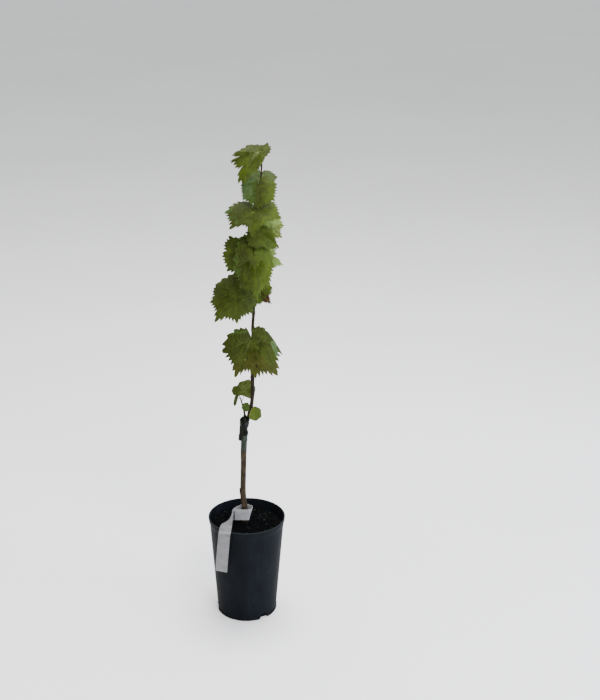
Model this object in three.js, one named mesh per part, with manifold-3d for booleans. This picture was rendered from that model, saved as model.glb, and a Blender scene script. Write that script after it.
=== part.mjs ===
// A young grafted grapevine in a deep nursery pot, as a three.js scene graph.
// Units are millimetres and +Z is up. The origin is the centre of the pot's flat underside.
// The front of the plant faces -Y and its right side +X.

import * as THREE from "three";
import { mergeVertices } from "three/addons/utils/BufferGeometryUtils.js";
import Module from "manifold-3d";

const wasm = await Module();
wasm.setup();

// Clear space kept between neighbouring sub-parts
const CLEARANCE = 0.3;

// The pot: a straight taper with a thicker lip band and a small foot
const POT_HEIGHT = 210;
const POT_RIM_RADIUS = 77.5;
const POT_BASE_RADIUS = 59.6;
const POT_SHOULDER_RADIUS = 74.4;
const POT_SHOULDER_HEIGHT = 194;
const POT_WALL = 1.8;
const POT_FLOOR = 2.6;
const POT_FOOT_HEIGHT = 7;
const POT_FOOT_RADIUS = 60.8;
const POT_SIDES = 48;
const DRAIN_WIDTH = 20;
const DRAIN_HEIGHT = 10.5;
const DRAIN_COUNT = 3;
const DRAIN_FIRST_AZIMUTH = 34.5;
const DRAIN_CUT_DEPTH = 12;
const DRAIN_ARC_STEPS = 10;

// The compost that fills it
const SOIL_LEVEL = 194;
const SOIL_LUMP = 2.2;
const SOIL_EDGE_DROP = 3;
const SOIL_WAVE_LENGTHS = [30, 37, 57, 26];
const SOIL_RINGS = [0.92, 0.78, 0.64, 0.5, 0.36, 0.22];
const SOIL_DRAIN_SETBACK = 5;
const TRUNK_SEAT_RADIUS = 13;

// The trunk: its centre line from foot to graft, and its radius at heights above the ground
const TRUNK_LINE = [
  [-7.0, 6.0, 188],
  [-7.9, 5.6, 215],
  [-7.5, 5.0, 250],
  [-5.7, 3.6, 290],
  [-4.9, 2.2, 334],
  [-4.4, 1.0, 366],
  [-4.2, 0.4, 382],
];
const TRUNK_RADII = [
  [188, 8.6],
  [197, 7.4],
  [210, 6.0],
  [236, 5.3],
  [250, 5.9],
  [262, 5.2],
  [310, 4.9],
  [382, 4.8],
];
const TRUNK_TOP = 375.6;
const TRUNK_SIDES = 12;
const TRUNK_STEPS = 18;

// The graft: the swollen union's centre line and radii, the sawn stub of the rootstock that stands
// out of it to the front right, and the run of wax down its left side
const GRAFT_LINE = [
  [-4.3, 0.6, TRUNK_TOP + CLEARANCE],
  [-3.4, 0.2, 395],
  [-3.2, 0, 412],
  [-3.4, 0, 427],
];
const GRAFT_RADII = [
  [376, 5.6],
  [388, 5.7],
  [394, 6.9],
  [398, 6.2],
  [404, 6.9],
  [413, 7.9],
  [421, 7.6],
  [424.5, 6.2],
  [427, 3.6],
];
const STUB_FACE = [-0.2, -9.0, 417];
const STUB_FACE_RADIUS = 4.35;
const STUB_ROOT_RADIUS = 6.2;
const STUB_LENGTH = 9;
const STUB_AZIMUTH = 32;
const STUB_RISE = 8;
const WAX_LINE = [
  [-7, -1, 414],
  [-9.6, -1.5, 404],
  [-10.4, -1, 392],
  [-14.6, 0, 379],
];
const WAX_RADII = [
  [0, 5.4],
  [0.4, 5.0],
  [0.75, 3.8],
  [1, 1.6],
];
const SHOOT_ROOT_START = [-2, 0, 417];
const SPROUT_ROOT_START = [-3.4, 0, 418];
const ROOT_BEND = 5;
const ROOT_SWELL = 0.45;

// The main shoot above the graft, from its root to its tip
const SHOOT_LINE = [
  [4.0, 0, 427],
  [8.2, 0, 442],
  [12.2, 0, 474],
  [12.6, 0, 495],
  [12.0, 0, 520],
  [14.0, 0, 592],
  [12.6, 0, 611],
  [14.4, 0, 640],
  [18.0, 0, 720],
  [21.3, 0, 788],
  [25.5, 0, 850],
  [29.5, 0, 920],
  [30.5, 0, 957],
];
const SHOOT_ROOT_RADIUS = 3.3;
const SHOOT_TIP_RADIUS = 1.3;
const NODE_SWELL = 0.28;
const NODE_LENGTH = 4.5;
const BARE_NODES = [478, 508, 524];
const SHOOT_SIDES = 8;
const SHOOT_STEPS = 56;

// A vine leaf is drawn in polar form round the top of its stalk. Each row is an angle from the main
// lobe's tip, the reach there as a share of the leaf's size, and 1 where a lobe ends in a point.
const LEAF_FORM = [
  [0, 1.0, 1],
  [27, 0.74, 0],
  [54, 0.93, 1],
  [81, 0.7, 0],
  [108, 0.82, 1],
  [144, 0.66, 0],
  [168, 0.5, 0],
  [177, 0.16, 0],
  [180, 0.06, 0],
];
const LATERAL_ANGLE = 54;
const LOBE_ANGLE = 108;
const TOOTH_DEPTH = 0.09;
const TOOTHLESS_FROM = 176;
const TOOTH_FADE = 14;
const LEAF_THICKNESS = 0.018;
const LEAF_RIPPLE = 0.03;
const RIPPLE_WAVES = 5;
const BASAL_DROOP_SHARE = 0.5;
const LEAF_RINGS = [
  { share: 0.36, every: 4 },
  { share: 0.7, every: 2 },
  { share: 1.0, every: 1 },
];

// The stalk of a leaf
const STALK_RADIUS = 0.019;
const STALK_LEAST_RADIUS = 0.7;
const STALK_FOOT_SWELL = 0.7;
const STALK_SWELL_LENGTH = 3;
const STALK_LEAVE = { out: 0.35, up: 0.1 };
const STALK_ARRIVE = { behind: 0.3, forward: 0.04 };
const STALK_SIDES = 5;
const STALK_STEPS = 6;

// The leaves from the lowest up. Each one has its node's height on the shoot, the point where its
// stalk meets the blade, its size from there to the main tip, where its face looks (degrees to the
// right of the front, then above level), how far its tip is turned to the right, how far it droops,
// and the fold and curl of its left and right halves. Its outline is set apart by how far its lobes
// spread, the angle of its lateral lobes (fan), its width, the reach of its tip, lateral lobes and
// base, the depth of its sinuses, how sharp its lobes are, and the line where its margin is folded
// over (crease). The leaves behind the shoot all hang the same way.
const LEAF_DEFAULTS = {
  teeth: 24, spread: 0.9, wide: 1, tip: 1, lateral: 1, base: 1, sinus: 0, outer: 0.8, sharp: 1.5,
  fold: [10, 10], curl: [-20, -20],
};
const BEHIND = { droop: 30, fold: [8, 8], curl: [-35, -35] };
const LEAVES = [
  { node: 436, at: [15, -7, 438.5], size: 17, face: [20, 20], turn: 60, droop: 10, teeth: 16 },
  { node: 446, at: [1, -3, 450], size: 11, face: [-15, 25], turn: -80, droop: 10, teeth: 12 },
  { node: 540, at: [10, 34, 566], size: 56, face: [180, 38], turn: 6, ...BEHIND },
  {
    node: 560, at: [10, -34, 602], size: 83, face: [2, 40], turn: 5, droop: 26, base: 0.68,
    fold: [6, 12], curl: [-50, -55], spread: 0.68, fan: 31, tip: 0.9, lateral: 1.05, wide: 0.93,
    crease: [111, 0.44],
  },
  {
    node: 662, at: [-17, -26, 696], size: 73, face: [-12, 26], turn: -34, droop: 24, base: 0.95,
    fold: [-8, -16], curl: [-60, -45], spread: 0.68, wide: 0.92,
  },
  {
    node: 668, at: [19, 9, 693], size: 38, face: [0, 10], turn: 47, droop: 20,
    spread: 0.55, fan: 22, lateral: 0.72, wide: 0.85,
  },
  { node: 644, at: [0, 38, 702], size: 56, face: [184, 36], turn: -8, ...BEHIND },
  {
    node: 738, at: [35, 8, 759], size: 44, face: [0, 8], turn: 58, droop: 20, fold: [8, -24],
    spread: 0.6, lateral: 0.82,
  },
  {
    node: 707, at: [16, -44, 767], size: 72, face: [4, 28], turn: 2, droop: 28,
    fold: [0, -16], curl: [-35, -45], spread: 0.68, wide: 0.7,
  },
  {
    node: 752, at: [-2, -10, 768], size: 52, face: [-6, 16], turn: -42, droop: 20,
    spread: 0.85, lateral: 0.9,
  },
  { node: 772, at: [15, 42, 774], size: 58, face: [176, 38], turn: 10, ...BEHIND },
  { node: 786, at: [29, -27, 815], size: 44, face: [10, 34], turn: 22, droop: 30, spread: 0.85 },
  {
    node: 800, at: [36, 8, 820], size: 45, face: [0, 6], turn: 48, droop: 15, fold: [8, -24],
    spread: 0.75, shade: "pale",
  },
  { node: 850, at: [18, 38, 838], size: 50, face: [182, 38], turn: -6, ...BEHIND },
  {
    node: 828, at: [13, -34, 851], size: 59, face: [-2, 56], turn: 0, droop: 52,
    curl: [-30, -30], wide: 1.08, tip: 0.88, lateral: 0.97, sinus: 0.2, outer: 0, sharp: 1.8,
    spread: 0.93,
  },
  { node: 884, at: [28, 26, 904], size: 40, face: [180, 38], turn: 8, ...BEHIND },
  {
    node: 872, at: [24, -22, 896], size: 43, face: [6, 38], turn: 6, droop: 35,
    fold: [0, 10], curl: [-50, -30], spread: 0.85,
  },
  {
    node: 932, at: [23, -14, 958], size: 70, face: [-12, 60], turn: -20, droop: 58, base: 0.8,
    fold: [-6, -54], curl: [-25, -55], sinus: 0.4, sharp: 0.45, spread: 0.74, fan: 46,
    lateral: 0.94, wide: 0.9,
  },
];

// The small shoot beside the graft, with its leaves fused on
const SPROUT_LINE = [
  [-3.0, 0.5, 431],
  [-5.5, 3, 444],
  [-9.5, 7, 458],
  [-13.5, 9, 470],
];
const SPROUT_ROOT_RADIUS = 1.7;
const SPROUT_TIP_RADIUS = 0.9;
const SPROUT_LEAVES = [
  {
    along: 0.72, at: [-3, 12, 470], size: 31, face: [6, 8], turn: 160, droop: 10,
    wide: 0.8, base: 0.6, teeth: 16,
  },
  { along: 0.97, at: [-18, 8, 474], size: 14, face: [-20, 15], turn: -85, droop: 15, teeth: 16 },
  { along: 0.85, at: [-19, 5, 465], size: 17, face: [-20, 0], turn: -12, droop: 40, wide: 0.35, teeth: 12 },
];

// The blank strip label: its centre line round the trunk's foot and over the rim, each with the
// direction of its width
const LABEL_WIDTH = 24;
const LABEL_THICKNESS = 0.7;
const LABEL_STEPS = 44;
const LABEL_LINE = [
  { at: [-21, -6.6, 213], across: [0, 0, 1] },
  { at: [-6, -6.8, 213], across: [0, 0, 1] },
  { at: [7, -5.0, 213], across: [0, 0.05, 1] },
  { at: [9.5, 8, 213.5], across: [0.08, 0, 1] },
  { at: [-3, 18.5, 213.5], across: [0, -0.05, 1] },
  { at: [-18, 11, 213], across: [0, 0, 1] },
  { at: [-27, -2.5, 213], across: [0, 0, 1] },
  { at: [-32, -16, 213.5], across: [0.4, 0.1, 0.9] },
  { at: [-38, -34, 215.5], across: [0.85, -0.1, 0.5] },
  { at: [-42, -54, 211.4], across: [0.97, -0.22, 0.04] },
  { at: [-43.5, -70, 210.2], across: [0.97, -0.22, 0] },
  { at: [-44.5, -74.2, 207.0], across: [0.97, -0.22, 0] },
  { at: [-46, -76, 190], across: [0.97, -0.22, 0] },
  { at: [-49, -74, 155], across: [0.97, -0.22, 0.03] },
  { at: [-51.5, -72, 123], across: [0.97, -0.22, 0.06] },
];

// Finishes
function finish(color, roughness) {
  return new THREE.MeshStandardMaterial({ color, roughness, metalness: 0 });
}

const MATERIALS = {
  pot: finish(0x24282e, 0.5),
  soil: finish(0x14110f, 0.95),
  bark: finish(0x5a4634, 0.85),
  wax: finish(0x232b28, 0.45),
  cane: finish(0x4a3226, 0.7),
  leaf: finish(0x4a5a1f, 0.55),
  pale: finish(0x7b8b45, 0.6),
  label: finish(0xd9d9d6, 0.5),
};

// Small helpers
const vector = (point) => new THREE.Vector3(...point);
const curveThrough = (points) => new THREE.CatmullRomCurve3(points.map(vector));
const radians = THREE.MathUtils.degToRad;

function valueAt(rows, x) {
  const last = rows.length - 1;
  if (x <= rows[0][0]) return rows[0][1];
  if (x >= rows[last][0]) return rows[last][1];
  const i = rows.findIndex((row) => x < row[0]);
  const [x0, y0] = rows[i - 1];
  const [x1, y1] = rows[i];
  return THREE.MathUtils.lerp(y0, y1, (x - x0) / (x1 - x0));
}

function meshFrom(vertices, triangles) {
  const geometry = new THREE.BufferGeometry();
  geometry.setAttribute("position", new THREE.Float32BufferAttribute(vertices, 3));
  geometry.setIndex(triangles);
  return geometry;
}

function toSolid(geometry) {
  const bare = geometry.clone();
  bare.deleteAttribute("normal");
  bare.deleteAttribute("uv");
  const merged = mergeVertices(bare, 1e-4);
  return new wasm.Manifold(
    new wasm.Mesh({
      numProp: 3,
      vertProperties: new Float32Array(merged.attributes.position.array),
      triVerts: new Uint32Array(merged.index.array),
    }),
  );
}

function toGeometry(solid) {
  const mesh = solid.getMesh();
  return meshFrom(Array.from(mesh.vertProperties), Array.from(mesh.triVerts));
}

function largest(solid) {
  return solid.decompose().sort((a, b) => b.volume() - a.volume())[0];
}

// A round limb along a curve: a cylinder whose rings are carried to the curve's frames
function limb(curve, radiusAt, sides, steps) {
  const frames = curve.computeFrenetFrames(steps, false);
  const geometry = new THREE.CylinderGeometry(1, 1, 1, sides, steps);
  const position = geometry.attributes.position;
  const point = new THREE.Vector3();
  for (let i = 0; i < position.count; i++) {
    const step = Math.round((position.getY(i) + 0.5) * steps);
    const along = step / steps;
    const centre = curve.getPointAt(along);
    const radius = radiusAt(along, centre);
    point.copy(centre);
    point.addScaledVector(frames.normals[step], position.getX(i) * radius);
    point.addScaledVector(frames.binormals[step], -position.getZ(i) * radius);
    position.setXYZ(i, point.x, point.y, point.z);
  }
  return geometry;
}

// The pot
function potRadius(height) {
  const slope = (POT_SHOULDER_RADIUS - POT_BASE_RADIUS) / POT_SHOULDER_HEIGHT;
  return POT_BASE_RADIUS + slope * height;
}

function drainCutter(azimuth) {
  const arch = new THREE.Shape();
  const below = 1;
  const inside = POT_WALL + 4;
  arch.moveTo(-DRAIN_WIDTH / 2, -below);
  arch.lineTo(DRAIN_WIDTH / 2, -below);
  arch.absellipse(0, 0, DRAIN_WIDTH / 2, DRAIN_HEIGHT, 0, Math.PI, false);
  const geometry = new THREE.ExtrudeGeometry(arch, {
    depth: DRAIN_CUT_DEPTH,
    bevelEnabled: false,
    curveSegments: DRAIN_ARC_STEPS,
  });
  geometry.rotateX(Math.PI / 2);
  geometry.translate(0, inside - POT_BASE_RADIUS, 0);
  geometry.rotateZ(radians(azimuth));
  return toSolid(geometry);
}

function pot() {
  const inner = (height) => potRadius(height) - POT_WALL;
  const lip = POT_RIM_RADIUS;
  const round = 0.8;
  const bandStep = 3;
  const lipWidth = 2.8;
  const profile = [
    [0, 0],
    [POT_FOOT_RADIUS - round, 0],
    [POT_FOOT_RADIUS, round],
    [POT_FOOT_RADIUS + round / 2, POT_FOOT_HEIGHT - round],
    [potRadius(POT_FOOT_HEIGHT), POT_FOOT_HEIGHT],
    [POT_SHOULDER_RADIUS, POT_SHOULDER_HEIGHT],
    [lip - round, POT_SHOULDER_HEIGHT + bandStep],
    [lip - round / 2, POT_HEIGHT - bandStep],
    [lip, POT_HEIGHT - round],
    [lip - round, POT_HEIGHT],
    [lip - lipWidth + round, POT_HEIGHT],
    [lip - lipWidth, POT_HEIGHT - round],
    [inner(POT_SHOULDER_HEIGHT), POT_SHOULDER_HEIGHT - 1],
    [inner(POT_FLOOR), POT_FLOOR],
    [0, POT_FLOOR],
  ];
  const points = profile.map(([x, y]) => new THREE.Vector2(x, y));
  const shell = new THREE.LatheGeometry(points, POT_SIDES);
  shell.rotateX(Math.PI / 2);
  let solid = toSolid(shell);
  for (let i = 0; i < DRAIN_COUNT; i++) {
    solid = solid.subtract(drainCutter(DRAIN_FIRST_AZIMUTH + (360 / DRAIN_COUNT) * i));
  }
  return toGeometry(solid);
}

// The compost: clear of the wall, lumpy on top and level where the trunk stands
function soilLump(x, y) {
  const seat = Math.hypot(x - TRUNK_LINE[0][0], y - TRUNK_LINE[0][1]);
  const fade = THREE.MathUtils.smoothstep(seat, TRUNK_SEAT_RADIUS, TRUNK_SEAT_RADIUS * 2);
  const [a, b, c, d] = SOIL_WAVE_LENGTHS.map((length) => (2 * Math.PI) / length);
  const waves = Math.sin(a * x + 1) * Math.cos(b * y) + Math.sin(c * x - d * y);
  return (fade * SOIL_LUMP * (waves - 1)) / 2;
}

function soil() {
  const edge = (height) => potRadius(height) - POT_WALL - CLEARANCE * 1.5;
  const bottom = POT_FLOOR + CLEARANCE;
  const top = SOIL_LEVEL - SOIL_EDGE_DROP;
  const points = [new THREE.Vector2(0, bottom)];
  points.push(new THREE.Vector2(edge(bottom) - SOIL_DRAIN_SETBACK, bottom));
  points.push(new THREE.Vector2(edge(DRAIN_HEIGHT) - SOIL_DRAIN_SETBACK, DRAIN_HEIGHT));
  points.push(new THREE.Vector2(edge(DRAIN_HEIGHT * 2), DRAIN_HEIGHT * 2));
  points.push(new THREE.Vector2(edge(top), top));
  for (const share of SOIL_RINGS) points.push(new THREE.Vector2(edge(top) * share, SOIL_LEVEL));
  points.push(new THREE.Vector2(0, SOIL_LEVEL));
  const geometry = new THREE.LatheGeometry(points, POT_SIDES);
  geometry.rotateX(Math.PI / 2);
  const position = geometry.attributes.position;
  for (let i = 0; i < position.count; i++) {
    if (position.getZ(i) < top + SOIL_EDGE_DROP / 2) continue;
    position.setZ(i, SOIL_LEVEL + soilLump(position.getX(i), position.getY(i)));
  }
  return toGeometry(toSolid(geometry));
}

// The trunk: a flared foot cut flat at the ground, a slight bulge and a flat top under the graft
function slab(fromHeight, toHeight) {
  const size = 60;
  const geometry = new THREE.BoxGeometry(size, size, toHeight - fromHeight);
  geometry.translate(0, 0, (fromHeight + toHeight) / 2);
  return toSolid(geometry);
}

function trunk() {
  const line = curveThrough(TRUNK_LINE);
  const radius = (along, centre) => valueAt(TRUNK_RADII, centre.z);
  const stem = toSolid(limb(line, radius, TRUNK_SIDES, TRUNK_STEPS));
  return toGeometry(stem.intersect(slab(SOIL_LEVEL + CLEARANCE, TRUNK_TOP)));
}

// The graft: waxed knob, collar, sawn stub of the rootstock, a run of wax and the two shoots' roots
const shootCurve = curveThrough(SHOOT_LINE);
const sproutCurve = curveThrough(SPROUT_LINE);

function rootOf(curve, from, radius) {
  const end = curve.getPointAt(0);
  const direction = curve.getTangentAt(0);
  end.addScaledVector(direction, -CLEARANCE);
  const turn = end.clone().addScaledVector(direction, -ROOT_BEND);
  const line = new THREE.QuadraticBezierCurve3(vector(from), turn, end);
  const sides = 10;
  const steps = 4;
  return limb(line, (along) => radius * (1 + ROOT_SWELL * (1 - along)), sides, steps);
}

// A short sawn stub: its round face looks to the front right and a little up
function sawnStub() {
  const stub = new THREE.CylinderGeometry(STUB_FACE_RADIUS, STUB_ROOT_RADIUS, STUB_LENGTH, 14);
  stub.translate(0, -STUB_LENGTH / 2, 0);
  stub.rotateX(Math.PI - radians(STUB_RISE));
  stub.rotateZ(radians(STUB_AZIMUTH));
  stub.translate(...STUB_FACE);
  return stub;
}

function graft() {
  const bodyRadius = (along, centre) => valueAt(GRAFT_RADII, centre.z);
  const body = limb(curveThrough(GRAFT_LINE), bodyRadius, TRUNK_SIDES, 12);
  const wax = limb(curveThrough(WAX_LINE), (along) => valueAt(WAX_RADII, along), 10, 8);
  const pieces = [sawnStub(), wax];
  pieces.push(rootOf(shootCurve, SHOOT_ROOT_START, SHOOT_ROOT_RADIUS * (1 + NODE_SWELL / 5)));
  pieces.push(rootOf(sproutCurve, SPROUT_ROOT_START, SPROUT_ROOT_RADIUS * (1 + NODE_SWELL)));
  let solid = toSolid(body);
  for (const piece of pieces) solid = solid.add(toSolid(piece));
  return toGeometry(solid.intersect(slab(TRUNK_TOP + CLEARANCE, POT_HEIGHT * 3)));
}

// The main shoot, slightly swollen at every node
const NODE_HEIGHTS = [...BARE_NODES, ...LEAVES.map((leaf) => leaf.node)];

function shootRadius(along, height) {
  const plain = THREE.MathUtils.lerp(SHOOT_ROOT_RADIUS, SHOOT_TIP_RADIUS, along);
  let swell = 0;
  for (const node of NODE_HEIGHTS) {
    swell = Math.max(swell, Math.exp(-(((height - node) / NODE_LENGTH) ** 2)));
  }
  return plain * (1 + NODE_SWELL * swell);
}

function shootTube(extra) {
  const radius = (along, centre) => shootRadius(along, centre.z) + extra;
  return limb(shootCurve, radius, SHOOT_SIDES, SHOOT_STEPS);
}

const SHOOT_ENVELOPE = toSolid(shootTube(CLEARANCE * 1.1));

function shootPointAt(height) {
  const halvings = 24;
  let low = 0;
  let high = 1;
  for (let i = 0; i < halvings; i++) {
    const middle = (low + high) / 2;
    if (shootCurve.getPointAt(middle).z < height) low = middle;
    else high = middle;
  }
  return shootCurve.getPointAt(low);
}

// A leaf blade: its outline, and the fold, curl, droop and ripple that carry it into space
function outlineReach(degrees, leaf) {
  let previous = LEAF_FORM[0];
  for (const row of LEAF_FORM.slice(1)) {
    if (degrees <= row[0]) {
      const share = (degrees - previous[0]) / (row[0] - previous[0]);
      const from = lobeReach(previous, leaf);
      const to = lobeReach(row, leaf);
      if (previous[2]) return to + (from - to) * (1 - share) ** leaf.sharp;
      if (row[2]) return from + (to - from) * share ** leaf.sharp;
      return THREE.MathUtils.lerp(from, to, (1 - Math.cos(Math.PI * share)) / 2);
    }
    previous = row;
  }
  return previous[1];
}

function lobeReach([angle, reach, pointed], leaf) {
  if (angle === 0) return reach * leaf.tip;
  if (angle > LOBE_ANGLE) return reach * leaf.base;
  if (pointed) return reach * (angle < LOBE_ANGLE ? leaf.lateral : 1);
  return reach - leaf.sinus * (angle < LATERAL_ANGLE ? 1 : leaf.outer);
}

function edgePoint(index, leaf) {
  const turn = (180 * index) / leaf.teeth;
  const degrees = turn <= 180 ? turn : 360 - turn;
  const tooth = index % 2 === 0 ? 0.5 : -0.5;
  const fade = THREE.MathUtils.clamp((TOOTHLESS_FROM - degrees) / TOOTH_FADE, 0, 1);
  const reach = outlineReach(degrees, leaf) * (1 + TOOTH_DEPTH * tooth * fade);
  const fan = leaf.fan ?? LATERAL_ANGLE * leaf.spread;
  const opened = valueAt(
    [[0, 0], [LATERAL_ANGLE, fan], [LOBE_ANGLE, LOBE_ANGLE * leaf.spread], [180, 180]],
    degrees,
  );
  const angle = radians(turn <= 180 ? opened : -opened);
  return { angle, reach: Math.min(reach, creaseReach(angle, leaf)) };
}

// How far the blade goes before the line where its margin is folded over
function creaseReach(angle, leaf) {
  if (!leaf.crease) return Infinity;
  const [toward, distance] = leaf.crease;
  const across = Math.cos(angle - radians(toward));
  return across > 0 ? distance / across : Infinity;
}

function bend(distance, start, curl) {
  const straight = 1e-4;
  if (Math.abs(curl) < straight) return [distance * Math.cos(start), distance * Math.sin(start)];
  const end = start + curl * distance;
  return [(Math.sin(end) - Math.sin(start)) / curl, (Math.cos(start) - Math.cos(end)) / curl];
}

function leafFrame(leaf) {
  const [azimuth, elevation] = leaf.face.map(radians);
  const turn = radians(leaf.turn);
  const right = new THREE.Vector3(Math.cos(azimuth), Math.sin(azimuth), 0);
  const normal = new THREE.Vector3(
    Math.sin(azimuth) * Math.cos(elevation),
    -Math.cos(azimuth) * Math.cos(elevation),
    Math.sin(elevation),
  );
  const down = new THREE.Vector3().crossVectors(right, normal);
  const midrib = down.clone().multiplyScalar(Math.cos(turn)).addScaledVector(right, Math.sin(turn));
  const side = right.clone().multiplyScalar(Math.cos(turn)).addScaledVector(down, -Math.sin(turn));
  return { normal, midrib, side };
}

function bladePoint(leaf, frame, forward, sideways) {
  const half = sideways < 0 ? 0 : 1;
  const fold = radians(leaf.fold[half]);
  const curl = radians(leaf.curl[half]);
  const [across, lift] = bend(Math.abs(sideways), fold, curl);
  const rate = radians(leaf.droop) * (forward > 0 ? 1 : BASAL_DROOP_SHARE);
  const [along, fall] = bend(forward, 0, rate);
  const angle = rate * forward;
  const wave = Math.sin(RIPPLE_WAVES * Math.atan2(sideways, forward) + leaf.node);
  const ripple = LEAF_RIPPLE * wave * (forward ** 2 + sideways ** 2);
  const rise = lift + ripple;
  return vector(leaf.at)
    .addScaledVector(frame.midrib, leaf.size * (along + rise * Math.sin(angle)))
    .addScaledVector(frame.normal, leaf.size * (rise * Math.cos(angle) - fall))
    .addScaledVector(frame.side, leaf.size * across * Math.sign(sideways));
}

function blade(leaf) {
  const frame = leafFrame(leaf);
  const stations = leaf.teeth * 2;
  const half = (leaf.size * LEAF_THICKNESS) / 2;
  const nudge = 0.01;
  const layers = [[], []];
  const addPoint = (forward, sideways) => {
    const point = bladePoint(leaf, frame, forward, sideways);
    const ahead = bladePoint(leaf, frame, forward + nudge, sideways).sub(point);
    const beside = bladePoint(leaf, frame, forward, sideways + nudge).sub(point);
    const normal = ahead.cross(beside).normalize();
    layers[0].push(point.clone().addScaledVector(normal, half));
    layers[1].push(point.clone().addScaledVector(normal, -half));
  };
  addPoint(0, 0);
  const rings = [];
  for (const ring of LEAF_RINGS) {
    rings.push({ first: layers[0].length, count: stations / ring.every });
    for (let i = 0; i < stations; i += ring.every) {
      const { angle, reach } = edgePoint(i, leaf);
      const radius = reach * ring.share;
      addPoint(radius * Math.cos(angle), radius * Math.sin(angle) * leaf.wide);
    }
  }
  const faces = [];
  const inner = rings[0];
  for (let i = 0; i < inner.count; i++) {
    faces.push([0, inner.first + i, inner.first + ((i + 1) % inner.count)]);
  }
  for (let r = 1; r < rings.length; r++) {
    const [a, b] = [rings[r - 1], rings[r]];
    for (let i = 0; i < a.count; i++) {
      const near = a.first + i;
      const next = a.first + ((i + 1) % a.count);
      const start = b.first + 2 * i;
      const end = b.first + ((2 * i + 2) % b.count);
      faces.push([near, start, start + 1], [near, start + 1, next], [next, start + 1, end]);
    }
  }
  const under = layers[0].length;
  const triangles = [];
  for (const [a, b, c] of faces) triangles.push(a, b, c, a + under, c + under, b + under);
  const edge = rings[rings.length - 1];
  for (let i = 0; i < edge.count; i++) {
    const here = edge.first + i;
    const next = edge.first + ((i + 1) % edge.count);
    triangles.push(here + under, next + under, next, here + under, next, here);
  }
  const vertices = layers.flat().flatMap((point) => point.toArray());
  return meshFrom(vertices, triangles);
}

function stalk(leaf, root) {
  const frame = leafFrame(leaf);
  const top = vector(leaf.at);
  const length = root.distanceTo(top);
  const out = top.clone().sub(root).setZ(0).normalize();
  const leave = root.clone().addScaledVector(out, length * STALK_LEAVE.out);
  leave.z += length * STALK_LEAVE.up;
  const arrive = top.clone().addScaledVector(frame.normal, -length * STALK_ARRIVE.behind);
  arrive.addScaledVector(frame.midrib, length * STALK_ARRIVE.forward);
  const thick = Math.max(leaf.size * STALK_RADIUS, STALK_LEAST_RADIUS);
  const fade = (along) => Math.exp(-(((along * length) / (STALK_SWELL_LENGTH * thick)) ** 2));
  const swell = (along) => 1 + STALK_FOOT_SWELL * fade(along);
  const line = new THREE.CubicBezierCurve3(root, leave, arrive, top);
  return limb(line, (along) => thick * swell(along), STALK_SIDES, STALK_STEPS);
}

function shootLeaf(row) {
  const leaf = { ...LEAF_DEFAULTS, ...row };
  const root = shootPointAt(leaf.node);
  const stem = toSolid(stalk(leaf, root)).subtract(SHOOT_ENVELOPE);
  return toGeometry(largest(stem.add(toSolid(blade(leaf)))));
}

function sprout() {
  const radius = (along) => THREE.MathUtils.lerp(SPROUT_ROOT_RADIUS, SPROUT_TIP_RADIUS, along);
  const steps = 10;
  let solid = toSolid(limb(sproutCurve, radius, SHOOT_SIDES, steps));
  for (const row of SPROUT_LEAVES) {
    const leaf = { ...LEAF_DEFAULTS, node: row.size, ...row };
    const root = sproutCurve.getPointAt(leaf.along);
    solid = solid.add(toSolid(stalk(leaf, root))).add(toSolid(blade(leaf)));
  }
  return toGeometry(solid);
}

// The label: a flat strip whose width turns as it leaves the trunk and lies over the rim
function label() {
  const line = curveThrough(LABEL_LINE.map((row) => row.at));
  const turn = curveThrough(LABEL_LINE.map((row) => row.across));
  const vertices = [];
  const triangles = [];
  for (let i = 0; i <= LABEL_STEPS; i++) {
    const share = i / LABEL_STEPS;
    const centre = line.getPoint(share);
    const tangent = line.getTangent(share);
    const across = turn.getPoint(share);
    across.addScaledVector(tangent, -across.dot(tangent)).normalize();
    const thick = tangent.clone().cross(across);
    for (const [w, t] of [[-1, -1], [1, -1], [1, 1], [-1, 1]]) {
      const corner = centre.clone().addScaledVector(across, (w * LABEL_WIDTH) / 2);
      corner.addScaledVector(thick, (t * LABEL_THICKNESS) / 2);
      vertices.push(...corner.toArray());
    }
  }
  for (let i = 0; i < LABEL_STEPS; i++) {
    for (let j = 0; j < 4; j++) {
      const a = 4 * i + j;
      const b = 4 * i + ((j + 1) % 4);
      triangles.push(a, b, b + 4, a, b + 4, a + 4);
    }
  }
  const last = 4 * LABEL_STEPS;
  triangles.push(0, 3, 2, 0, 2, 1, last, last + 1, last + 2, last, last + 2, last + 3);
  return meshFrom(vertices, triangles);
}

// The scene graph
const grapevine = new THREE.Group();

function addPart(name, geometry, material) {
  const mesh = new THREE.Mesh(geometry, material);
  mesh.name = name;
  grapevine.add(mesh);
}

addPart("pot", pot(), MATERIALS.pot);
addPart("compost", soil(), MATERIALS.soil);
addPart("trunk", trunk(), MATERIALS.bark);
addPart("graft", graft(), MATERIALS.wax);
addPart("main_shoot", shootTube(0), MATERIALS.cane);
addPart("side_sprout", sprout(), MATERIALS.leaf);
LEAVES.forEach((leaf, i) => {
  const name = `leaf_${String(i + 1).padStart(2, "0")}`;
  addPart(name, shootLeaf(leaf), MATERIALS[leaf.shade ?? "leaf"]);
});
addPart("label", label(), MATERIALS.label);

export default grapevine;
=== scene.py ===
# A young grafted grapevine in a deep nursery pot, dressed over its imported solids.
# Lengths are millimetres, turned to metres where a mesh is made. +Z is up and the front faces -Y.

import math
import random
from types import SimpleNamespace

import bmesh
import bpy
from mathutils import Matrix, Vector, noise


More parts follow.
